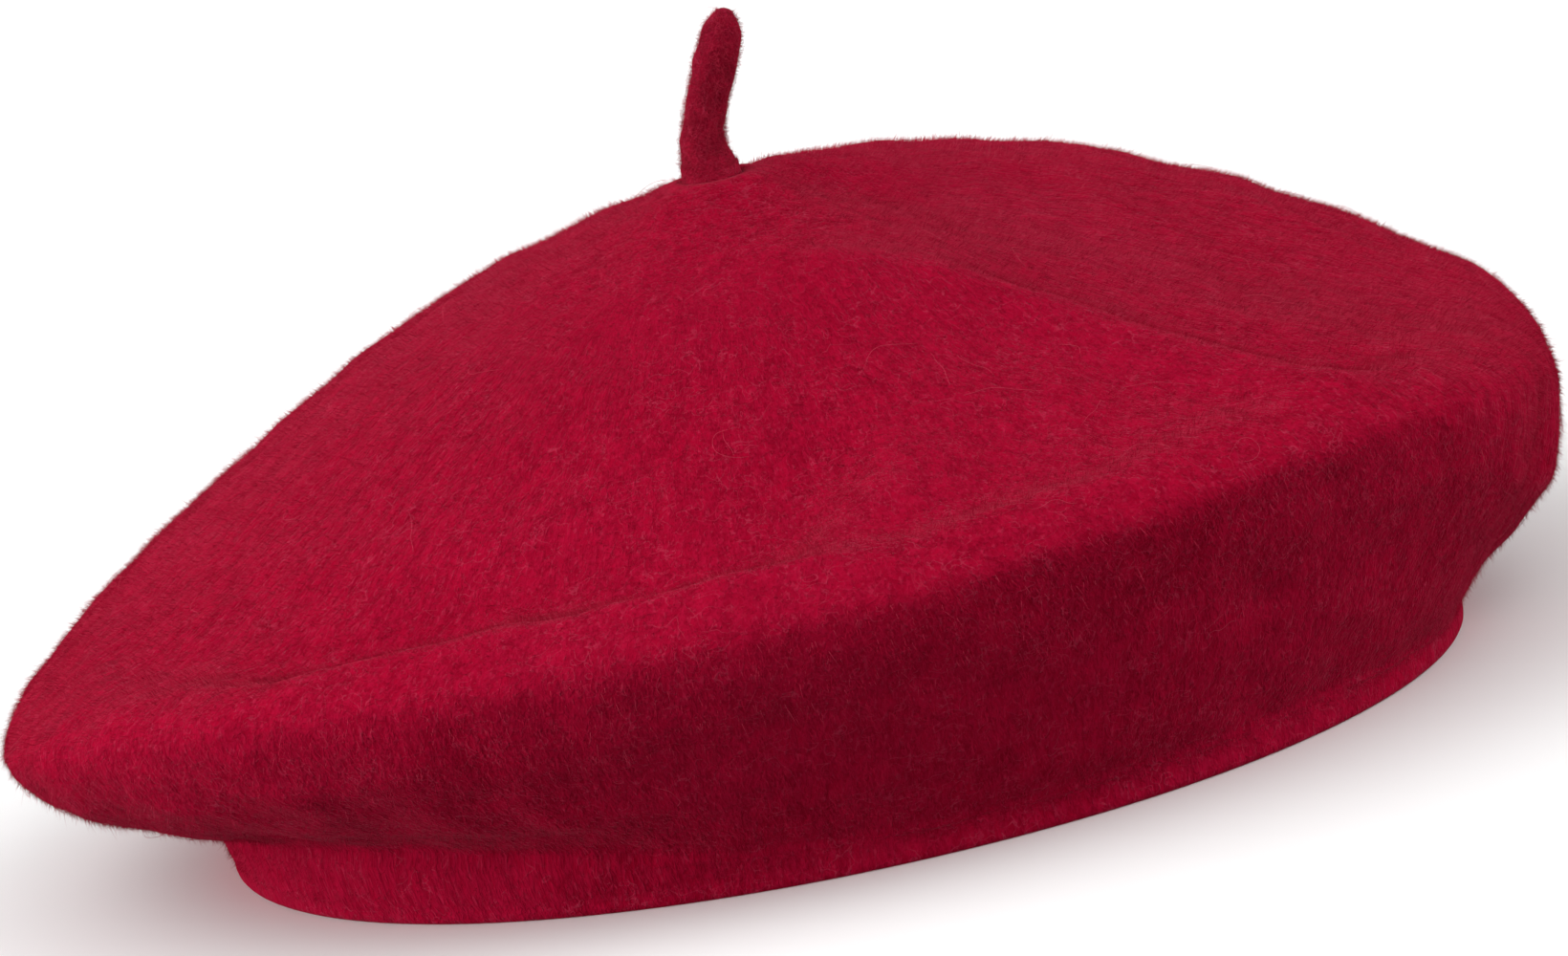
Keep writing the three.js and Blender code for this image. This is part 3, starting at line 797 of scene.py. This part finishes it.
# How wide a hair is along its length, as a share of its full width.
HAIR_TAPER = (0.5, 1, 1, 0.9, 0.7, 0.25)
HAIR_WIDTH, STRAY_WIDTH = 0.032, 0.034
HAIR_DENSITY, STRAY_DENSITY = 0.06, 0.001
STRAY_STEPS = 22


def make_hairs():
    """Hairs that lie curled on the felt, and a few long stray ones that stand off it."""
    random = np.random.default_rng(21)
    ring, turn = random_skin_places(HAIR_DENSITY, 0.3, 12.0, random)
    normal = skin_normal(ring, turn)
    root = felt_outside(ring, turn) - normal * 0.05
    length = random.uniform(1.8, 4.5, len(ring))
    paths = curling_paths(root, normal, length, 0.35, 0.35, len(HAIR_TAPER), random)
    hairs = tube_object("surface_hairs", paths, np.array(HAIR_TAPER) * HAIR_WIDTH, 3, nap)
    finish_piece(hairs, "hat")
    ring, turn = random_skin_places(STRAY_DENSITY, 0.5, 11.0, random)
    normal = skin_normal(ring, turn)
    root = felt_outside(ring, turn) - normal * 0.1
    length = random.uniform(5, 15, len(ring))
    paths = curling_paths(root, normal, length, 0.3, 1.6, STRAY_STEPS, random)
    along = np.linspace(0, 1, STRAY_STEPS)
    taper = np.interp(along, [0, 0.1, 0.8, 1], [0.5, 1, 0.8, 0.3]) * STRAY_WIDTH
    # The long stray hairs take the lighter wool: a painted highlight of hairs catching the light.
    strays = tube_object("stray_hairs", paths, taper, 4, painted_glint_wool)
    finish_piece(strays, "hat")


# ------------ stalk

# How far the stalk leans and its radius, at heights above its pivot.
STALK_LEAN = ((0, 0), (1.5, -0.6), (4, -0.75), (10.2, 0.25), (16.1, 2.7), (22.2, 5.45), (27.8, 7.5))
STALK_RADII = (
    (3.0, 4.35), (4.5, 3.95), (7, 3.55), (11, 3.3), (16, 3.3),
    (19.5, 3.4), (22.6, 3.2), (25.2, 2.45), (26.7, 1.3),
)
STALK_TOP = STALK_RADII[-1][0]
STALK_TIP_WAY = (0.25, 0, 0.97)
STALK_BRISTLES, STALK_HAIRS = 9000, 320
STALK_NAP_START = 1.2
STALK_HAIR_TAPER = (0.5, 1, 1, 1, 0.8, 0.6, 0.25)
STALK_HAIR_WIDTH = 0.026
stalk_lumps = Ripple(5, seed=9)


def along_pairs(pairs, place):
    """A smooth value through (place, value) pairs."""
    places = np.array([p[0] for p in pairs], float)
    values = np.array([p[1] for p in pairs], float)
    slopes = np.gradient(values, places)
    at = np.clip(np.searchsorted(places, place, side="right") - 1, 0, len(pairs) - 2)
    width = places[at + 1] - places[at]
    t = (place - places[at]) / width
    rise = values[at + 1] - values[at]
    first = slopes[at] * width
    last = slopes[at + 1] * width
    return values[at] + t * (first + t * (3 * rise - 2 * first - last + t * (first + last - 2 * rise)))


def stalk_surface(height, turn, radius):
    middle = stack(STALK_X + along_pairs(STALK_LEAN, height), 0, PIVOT_Z + height)
    slope = (along_pairs(STALK_LEAN, height + 0.4) - along_pairs(STALK_LEAN, height - 0.4)) / 0.8
    slope = np.where(height > 1, slope, 0)
    up = stack(slope, 0, 1) / np.sqrt(1 + slope**2)[..., None]
    across = stack(up[..., 2], 0, -up[..., 0])
    side = np.array([0.0, 1.0, 0.0])
    out = across * np.cos(turn * TAU)[..., None] + side * np.sin(turn * TAU)[..., None]
    return middle + out * np.asarray(radius)[..., None], out


def stalk_profile():
    profile = []
    for degrees in range(-80, 31, 10):
        angle = math.radians(degrees)
        profile.append((ROOT_RADIUS * math.sin(angle), ROOT_RADIUS * math.cos(angle)))
    for height in np.linspace(STALK_RADII[0][0], STALK_TOP, 44):
        profile.append((height, float(along_pairs(STALK_RADII, height))))
    profile.append((STALK_TOP + 0.3, 0.6))
    return profile


def make_stalk():
    columns = 56
    turn = turns(columns)
    rows = []
    for height, radius in stalk_profile():
        point, out = stalk_surface(np.full(columns, height), turn, np.full(columns, radius))
        relief = 0.16 * stalk_lumps(point) * min(1, radius / 3)
        rows.append(point + out * relief[:, None])
    stalk = dome_object("felt_stalk", np.stack(rows), stalk_felt)
    finish_piece(stalk, "stalk", "stalk")
    random = np.random.default_rng(31)
    share = random.beta(1, 1.12, STALK_BRISTLES)
    height = STALK_NAP_START + (STALK_TOP - STALK_NAP_START) * share
    places = random.random(STALK_BRISTLES)
    radius = np.where(
        height < STALK_RADII[0][0],
        np.sqrt(ROOT_RADIUS**2 - np.minimum(height, 4.9) ** 2),
        along_pairs(STALK_RADII, height),
    )
    root, out = stalk_surface(height, places, radius)
    tip = smooth(STALK_TOP - 3, STALK_TOP, height)[:, None]
    normal = unit(out * (1 - tip) + np.array(STALK_TIP_WAY) * tip)
    fuzz = bristles("nap_stalk", root, normal, 0.62, 0.034, random, stalk_nap)
    finish_piece(fuzz, "stalk")
    length = random.uniform(1.0, 2.6, STALK_HAIRS)
    root, normal = root[:STALK_HAIRS], normal[:STALK_HAIRS]
    paths = curling_paths(root, normal, length, 0.4, 0.6, len(STALK_HAIR_TAPER), random)
    hairs = tube_object("hairs_stalk", paths, np.array(STALK_HAIR_TAPER) * STALK_HAIR_WIDTH, 3, stalk_nap)
    finish_piece(hairs, "stalk")


make_felt()
make_nap()
make_hairs()
make_stalk()


# ------------ inside of the mouth

TAPE = {"inset": 2.8, "thickness": 0.5, "bottom": 1.2, "top": 10.5}
SWEATBAND = {"inset": 3.7, "thickness": 0.8, "bottom": 0.8, "top": 26}
SWEATBAND_GAP = 0.5 / 360
JOIN_TAPE = {"inset": 2.95, "thickness": 0.4, "bottom": 11, "top": 24.5}
JOIN_HALF = 3 / 360
SWEATBAND_FACE = SWEATBAND["inset"] + SWEATBAND["thickness"]
STITCH_Z = 3
NAPE_X = MOUTH_X - MOUTH_HALF_LENGTH + SWEATBAND_FACE


def strip_outline(thickness, bottom, top, steps):
    """A thin section with round edges, as depths and heights, once round it."""
    radius = thickness / 2
    face = np.linspace(bottom + radius, top - radius, steps)
    bend = np.linspace(0, math.pi, 6)[1:-1]
    depth = [0 * face, radius - radius * np.cos(bend), 0 * face + thickness, radius + radius * np.cos(bend)]
    height = [face, top - radius + radius * np.sin(bend), face[::-1], bottom + radius - radius * np.sin(bend)]
    return np.concatenate(depth), np.concatenate(height)


def join_pieces(name, pieces):
    """One object from several."""
    first = pieces[0]
    context = {"active_object": first, "object": first, "selected_objects": pieces}
    with bpy.context.temp_override(selected_editable_objects=pieces, **context):
        bpy.ops.object.join()
    first.name = first.data.name = name
    return first


def stitches(name, place, lift, count, share, radius, material):
    """Separate stitches along a closed route: each comes out of the cloth and goes back in.

    place(turn, part) gives points on the cloth, and lift(turn) the way out of it."""
    part = np.linspace(0, 1, 7)[None, :]
    turn = (np.arange(count)[:, None] + share * part) / count
    arch = radius * (1.5 * np.sin(part * math.pi) - 0.7)
    paths = place(turn, part + 0 * turn) + lift(turn) * (arch + 0 * turn)[..., None]
    return tube_object(name, paths, radius, 6, material)


def twisted_cord(name, route, twists, steps, radius, material):
    """Two plies twisted round a closed route; route(turn) gives its middle line."""
    turn = np.linspace(0, 1, steps)
    middle = route(turn)
    ahead = unit(route(turn + 0.001) - middle)
    level = unit(np.cross([0, 0, 1.0], ahead))
    upright = np.cross(ahead, level)
    plies = []
    for start in (0, math.pi):
        angle = (start + turn * twists * TAU)[:, None]
        plies.append(middle + radius * 0.5 * (level * np.cos(angle) + upright * np.sin(angle)))
    return tube_object(name, np.stack(plies), radius * 0.55, 6, material)


def make_bands():
    """Stay tape, leather sweatband, the tape over its join, and the stitches along its lower edge."""
    turn = turns(360)
    depth, height = strip_outline(TAPE["thickness"], TAPE["bottom"], TAPE["top"], 12)
    grid = mouth_point(turn[None], TAPE["inset"] + depth[:, None], height[:, None])
    finish_piece(ring_object("stay_ribbon", grid, grosgrain), "hat", "stay_tape")

    turn = np.linspace(-0.5 + SWEATBAND_GAP / 2, 0.5 - SWEATBAND_GAP / 2, 420)
    depth, height = strip_outline(SWEATBAND["thickness"], SWEATBAND["bottom"], SWEATBAND["top"], 22)
    flat = mouth_point(turn[:, None], 0, height[None])
    soft = 0.14 * Ripple(16, seed=41)(flat) * smooth(4, 14, height)
    edge = 0.3 * Ripple(30, seed=42)(flat) * smooth(20, 26, height)
    grid = mouth_point(turn[:, None], SWEATBAND["inset"] + depth[None] + soft, height[None] + edge)
    finish_piece(dome_object("leather_sweatband", grid, leather), "hat", "sweatband")

    turn = 0.5 + np.linspace(-JOIN_HALF, JOIN_HALF, 16)
    depth, height = strip_outline(JOIN_TAPE["thickness"], JOIN_TAPE["bottom"], JOIN_TAPE["top"], 16)
    grid = mouth_point(turn[:, None], JOIN_TAPE["inset"] + depth[None], height[None])
    finish_piece(dome_object("join_ribbon", grid, grosgrain), "hat", "sweatband_join")

    def inward(turn):
        return stack(-np.cos(turn * TAU), -np.sin(turn * TAU), 0)

    def slanting(turn, part):
        return mouth_point(turn, SWEATBAND_FACE, STITCH_Z + 0.8 * part)

    rim = stitches("rim_stitches", slanting, inward, 190, 0.68, 0.3, sewing_thread)
    finish_piece(rim, "hat", "rim_stitching")


BOW = {"z": 15, "x": NAPE_X + 1.4, "ribbon": 7, "loop": 14, "depth": 4, "skin": 0.6, "tail": 12, "turn": 0.45}
KNOT = {"x": 2.1, "half_depth": 2.4, "half_width": 3, "half_height": 3.65}


def bow_loop(side):
    """One loop of the bow: full in the middle, and pinched and narrow at the knot."""
    angle = np.arange(64)[:, None] / 64 * TAU
    fullness = np.sin(angle / 2) ** 2
    depth, height = strip_outline(BOW["skin"], -BOW["ribbon"] / 2, BOW["ribbon"] / 2, 9)
    x = BOW["depth"] / 2 * (1 + np.sin(angle) * (0.3 + 0.7 * fullness))
    y = side * (1 + BOW["loop"] / 2 * (1 - np.cos(angle)))
    outward = depth[None] - BOW["skin"] / 2
    crease = 0.18 * np.cos(height[None] * 2.4) * (1 - fullness)
    width = 0.6 + 0.4 * np.sqrt(fullness)
    points = stack(
        x + np.sin(angle) * (outward + crease),
        y - side * np.cos(angle) * (outward + crease),
        height[None] * width - 1.1 * fullness**2,
    )
    return ring_object("bow_loop", np.swapaxes(points, 0, 1), grosgrain)


def bow_tail(side):
    """One tail: it hangs outward, waves a little and is cut on the slant."""
    part = np.linspace(0, 1, 26)[:, None]
    depth, height = strip_outline(BOW["skin"], -BOW["ribbon"] * 0.4, BOW["ribbon"] * 0.4, 9)
    across = height[None] * (0.7 + 0.3 * smooth(0, 0.5, part))
    down = BOW["tail"] * part - 0.35 * side * across * part
    cos, sin = math.cos(BOW["turn"]), math.sin(BOW["turn"])
    x = BOW["skin"] * (1.1 if side > 0 else -0.1) + depth[None] + 0.35 * np.sin(part * 5)
    points = stack(x, side * down * sin + across * cos, side * across * sin - down * cos)
    return dome_object("bow_tail", points, grosgrain)


def bow_knot():
    """The ribbon wrapped round the middle of the bow, drawn into creases."""
    place = np.linspace(-0.97, 0.97, 22)[:, None]
    angle = np.arange(40)[None] / 40 * TAU
    size = (1 - np.abs(place) ** 3) ** (1 / 3) * (1 + 0.035 * np.cos(place * 16 + np.sin(angle)))
    points = stack(
        KNOT["x"] + KNOT["half_depth"] * np.cos(angle) * size,
        KNOT["half_width"] * place,
        KNOT["half_height"] * np.sin(angle) * size,
    )
    return dome_object("bow_knot", points, grosgrain)


def make_bow():
    pieces = [bow_loop(1), bow_loop(-1), bow_tail(1), bow_tail(-1), bow_knot()]
    bow = join_pieces("ribbon_bow", pieces)
    bow.data.transform(Matrix.Translation(Vector((BOW["x"], 0, BOW["z"])) * MM))
    finish_piece(bow, "hat", "sweatband_bow")


LABEL_THICKNESS = 0.4
LABEL_TOP = 25.2
LABEL_FACE = MOUTH_HALF_WIDTH - SWEATBAND_FACE


def make_label(name, width, height, y, curl):
    """A blank woven label: its upper edge is folded and sewn, and its lower edge curls inward."""
    inward = -math.copysign(1, y)
    part = np.linspace(0, 1, 30)[:, None]
    depth, across = strip_outline(LABEL_THICKNESS, -width / 2, width / 2, 20)
    folded = 1 + 0.7 * (1 - smooth(0.10, 0.13, part))
    bend = curl * part**2 + 0.15 * np.sin(across[None] * 0.45 + 1) * part
    points = stack(
        MOUTH_X + across[None],
        y + inward * ((depth[None] - LABEL_THICKNESS / 2) * folded + bend),
        LABEL_TOP - height * part,
    )
    label = finish_piece(dome_object(name + "_cloth", points, label_cloth), name, name)
    count = int(width / 2)
    start = MOUTH_X - width / 2 + 1 + np.arange(count)[:, None] * 2
    along = np.linspace(0, 1, 6)[None]
    arch = 0.25 + 0.22 * np.sin(along * math.pi)
    paths = stack(start + 1.3 * along, y + inward * (0.12 + arch), LABEL_TOP - 1.1 + 0 * along)
    thread = tube_object(name + "_stitches", paths, 0.16, 6, sewing_thread)
    finish_piece(thread, name)


# ------------ lining

SEAM_RING = (TIP_END + SIDE_START) / 2
HEM_STITCH_RING = 9.4
PATCH_END = 1
PATCH = 0.45
GAP = 0.35
GATHERS = 104
GATHER_SEED = 51
LINING_COLUMNS = 624


def gathers(turn):
    """Uneven small pleats round the hat, from -1 to 1."""
    random = np.random.default_rng(GATHER_SEED)
    wander = sum(
        random.uniform(0.2, 0.5) * np.sin(turn * TAU * k + random.uniform(0, TAU))
        for k in (3, 7, 11, 17)
    )
    swell = 0.7 + 0.3 * np.sin(turn * TAU * 23 + wander)
    return swell * np.sin(turn * TAU * GATHERS + 2.2 * wander)


def lining_rows(rings, fullness):
    """Rows round the hat, out along the lining's upper face and back along its lower one."""
    turn = turns(LINING_COLUMNS)
    rows = []
    for extra, route in ((0, rings), (LINING, rings[::-1])):
        for ring in route:
            pleat = fullness(ring) * gathers(turn)
            at = np.full(LINING_COLUMNS, float(ring))
            rows.append(lining_at(at, turn, extra + pleat))
    return np.stack(rows)


def make_lining():
    def tip_fullness(ring):
        return 0.42 * smooth(1.6, SEAM_RING, ring)

    def side_fullness(ring):
        return 0.42 * (1 - smooth(SEAM_RING, 5.5, ring)) + 0.5 * smooth(7.6, HEM_STITCH_RING, ring)

    rings = np.concatenate([np.linspace(0.02, 1.5, 14), np.linspace(1.6, SEAM_RING - 0.004, 44)])
    tip = dome_object("satin_tip", lining_rows(rings, tip_fullness), satin_flat)
    finish_piece(tip, "hat", "lining_tip")

    rings = np.concatenate([np.linspace(SEAM_RING + 0.004, 5.5, 34), np.linspace(5.6, SIDE_END, 45)])
    side = ring_object("satin_side", lining_rows(rings, side_fullness), satin_strip)
    finish_piece(side, "hat", "lining_side")

    def seam(turn):
        return lining_at(np.full_like(turn, SEAM_RING), turn, LINING + 2 * GAP)

    cord = twisted_cord("seam_cord", seam, 190, 1900, 0.5, sewing_thread)
    finish_piece(cord, "hat", "lining_seam")

    def out_of(ring):
        return lambda turn: -skin_normal(np.full_like(turn, ring), turn)

    def along_hem(turn, part):
        return lining_at(HEM_STITCH_RING + 0.06 * (part - 0.5), turn, LINING + 0.15 + 0 * turn)

    hem = stitches("hem_stitches", along_hem, out_of(HEM_STITCH_RING), 180, 0.6, 0.28, sewing_thread)
    finish_piece(hem, "hat", "lining_hem_stitching")


def make_patch():
    """A blank round patch under the middle of the crown, with an overcast edge."""
    columns = 160
    turn = turns(columns)
    top = LINING + GAP
    pucker = 0.1 * np.sin(turn * TAU * 26)
    rows = []
    faces = ((top, 0.02, PATCH_END), (top + PATCH, PATCH_END, 0.02))
    for depth, first, last in faces:
        for ring in np.linspace(first, last, 18):
            edge = smooth(0.6, PATCH_END, ring)
            rows.append(lining_at(np.full(columns, ring), turn, depth + edge * pucker))
    patch = dome_object("cloth_patch", np.stack(rows), patch_cloth)
    finish_piece(patch, "hat", "lining_patch")

    def across_edge(turn, part):
        return lining_at(PATCH_END - 0.09 + 0.16 * part, turn, top + PATCH * (1.1 - part) + 0 * turn)

    def downward(turn):
        return -skin_normal(np.full_like(turn, PATCH_END), turn)

    overcast = stitches("patch_stitches", across_edge, downward, 84, 0.35, 0.22, sewing_thread)
    finish_piece(overcast, "hat")


# ------------ what holds the stalk

CUP_RADIUS = 6.5
CUP_WALL = 1.1
CUP_BRIM = {"radius": 9.4, "top": -4, "bottom": -5}
BINDING_RING = 4.1
BINDING_THREAD = 0.35
YARN = 0.42
YARN_TURNS = 13


def make_anchor():
    """A cup darned from wool yarn: a felted wall, and the yarn laid round it from the middle out."""
    outside = CUP_RADIUS + CUP_WALL

    def bowl(radius, first, last):
        angles = np.radians(np.linspace(first, last, 16))
        return [(radius * math.cos(a), -radius * math.sin(a)) for a in angles]

    inner = bowl(CUP_RADIUS, 86, 28)
    outer = bowl(outside, 36, 86)
    brim = [(CUP_BRIM["radius"] - 0.3, CUP_BRIM["top"]), (CUP_BRIM["radius"], CUP_BRIM["top"] - 0.5)]
    brim.append((CUP_BRIM["radius"] - 0.3, CUP_BRIM["bottom"]))
    turn = turns(72)
    rows = [stack(r * np.cos(turn * TAU), r * np.sin(turn * TAU), z) for r, z in inner + brim + outer]
    cup = dome_object("anchor_cup", np.stack(rows), wool_yarn)
    laid = brim[::-1][:1] + outer
    steps = 700
    place = np.linspace(0, 1, steps)
    at = place * (len(laid) - 1)
    radius = np.interp(at, np.arange(len(laid)), [r for r, z in laid])
    z = np.interp(at, np.arange(len(laid)), [z for r, z in laid]) - YARN * 0.4
    angle = place * TAU * YARN_TURNS
    path = stack(radius * np.cos(angle), radius * np.sin(angle), z)
    spiral = tube_object("anchor_yarn", [path], YARN, 8, wool_yarn)
    anchor = join_pieces("darned_anchor", [cup, spiral])
    anchor.data.transform(Matrix.Translation(Vector((STALK_X, 0, PIVOT_Z)) * MM))
    finish_piece(anchor, "hat", "stalk_anchor")


def make_binding():
    """Twisted thread that binds the root of the stalk."""

    def route(turn):
        x = STALK_X + BINDING_RING * np.cos(turn * TAU)
        return stack(x, BINDING_RING * np.sin(turn * TAU), PIVOT_Z - BINDING_RING)

    cord = twisted_cord("binding_thread", route, 12, 260, BINDING_THREAD, wool_yarn)
    finish_piece(cord, "stalk_root", "stalk_binding")


make_bands()
make_bow()
make_label("size_label", 18, 15, LABEL_FACE - 1, 0.8)
make_label("care_label", 28, 21, 1.5 - LABEL_FACE, 1.2)
make_lining()
make_patch()
make_anchor()
make_binding()


# ------------ stage, light and camera

FLOOR_HALF_SIDE = 12000.0


def make_stage():
    nodes = Nodes("floor_paper")
    nodes.colour(nodes.mix(nodes.noise(60, detail=1), (0.90, 0.90, 0.90), (0.92, 0.92, 0.92)))
    nodes.set(roughness=0.9, specular=0.1)
    far = FLOOR_HALF_SIDE
    corners = [(-far, -far, 0), (far, -far, 0), (far, far, 0), (-far, far, 0)]
    floor = new_object("floor", corners, [np.array([[0, 1, 2, 3]])], nodes.material)
    floor.visible_diffuse = floor.visible_shadow = False


# Soft panels of the light tent: each one's bearing and height in degrees, and its strength.
FRONT_LIGHT, LEFT_LIGHT, RIGHT_LIGHT, BACK_LIGHT, FLOOR_LIGHT = 2.5, 3.0, 1.5, 0.5, 0.3
PANELS = (
    (-150, 40, FRONT_LIGHT),
    (-30, 40, FRONT_LIGHT),
    (180, 0, LEFT_LIGHT),
    (0, 0, RIGHT_LIGHT),
    (150, 40, BACK_LIGHT),
    (90, 30, BACK_LIGHT),
    (-90, -80, FLOOR_LIGHT),
)
PANEL_FOCUS = 5
TENT_FILL = 0.01


def make_world():
    """A white light tent: a faint even fill and soft round panels. The camera sees plain white."""
    world = bpy.data.worlds.new("studio")
    bpy.context.scene.world = world
    world.use_nodes = True
    tree = world.node_tree

    def maths(operation, a, b):
        node = tree.nodes.new("ShaderNodeMath")
        node.operation = operation
        for socket, value in enumerate((a, b)):
            if isinstance(value, (int, float)):
                node.inputs[socket].default_value = value
            else:
                tree.links.new(value, node.inputs[socket])
        return node.outputs[0]

    place = tree.nodes.new("ShaderNodeTexCoord")
    glow = TENT_FILL
    for bearing, height, strength in PANELS:
        across, up = math.radians(bearing), math.radians(height)
        toward = tree.nodes.new("ShaderNodeVectorMath")
        toward.operation = "DOT_PRODUCT"
        toward.inputs[1].default_value = (
            math.cos(across) * math.cos(up), math.sin(across) * math.cos(up), math.sin(up)
        )
        tree.links.new(place.outputs["Generated"], toward.inputs[0])
        facing = maths("MAXIMUM", toward.outputs["Value"], 0)
        panel = maths("MULTIPLY", maths("POWER", facing, PANEL_FOCUS), strength)
        glow = maths("ADD", panel, glow)
    tent = tree.nodes["Background"]
    tree.links.new(glow, tent.inputs["Color"])
    backdrop = tree.nodes.new("ShaderNodeBackground")
    backdrop.inputs["Color"].default_value = (1, 1, 1, 1)
    rays = tree.nodes.new("ShaderNodeLightPath")
    seen = tree.nodes.new("ShaderNodeMixShader")
    tree.links.new(rays.outputs["Is Camera Ray"], seen.inputs[0])
    tree.links.new(tent.outputs[0], seen.inputs[1])
    tree.links.new(backdrop.outputs[0], seen.inputs[2])
    tree.links.new(seen.outputs[0], tree.nodes["World Output"].inputs["Surface"])


# The camera stands at the hat's front, a little above it, and rolls so that the hat leans.
# VIEW_SPAN is how much of the scene the frame takes in from side to side at the hat.
VIEW_DISTANCE = 1200
VIEW_HEIGHT = math.radians(14)
VIEW_ROLL = math.radians(12)
VIEW_X = 7.5
VIEW_AT = Vector((3.3, 10.4, 41.6)) * MM
VIEW_SPAN = 255.9
SENSOR = 36


def make_camera():
    away, up = VIEW_DISTANCE * math.cos(VIEW_HEIGHT), VIEW_DISTANCE * math.sin(VIEW_HEIGHT)
    view_from = Vector((VIEW_X, -away, up)) * MM
    data = bpy.data.cameras.new("camera")
    data.sensor_width = SENSOR
    data.lens = SENSOR * VIEW_DISTANCE / VIEW_SPAN
    data.clip_start, data.clip_end = 0.05, 40
    camera = bpy.data.objects.new("camera", data)
    bpy.context.scene.collection.objects.link(camera)
    turned = (VIEW_AT - view_from).to_track_quat("-Z", "Y").to_matrix()
    roll = Matrix.Rotation(-VIEW_ROLL, 3, "Z")
    camera.matrix_world = Matrix.Translation(view_from) @ (turned @ roll).to_4x4()
    bpy.context.scene.camera = camera


make_stage()
make_world()
make_camera()
bpy.context.scene.view_settings.view_transform = "Standard"
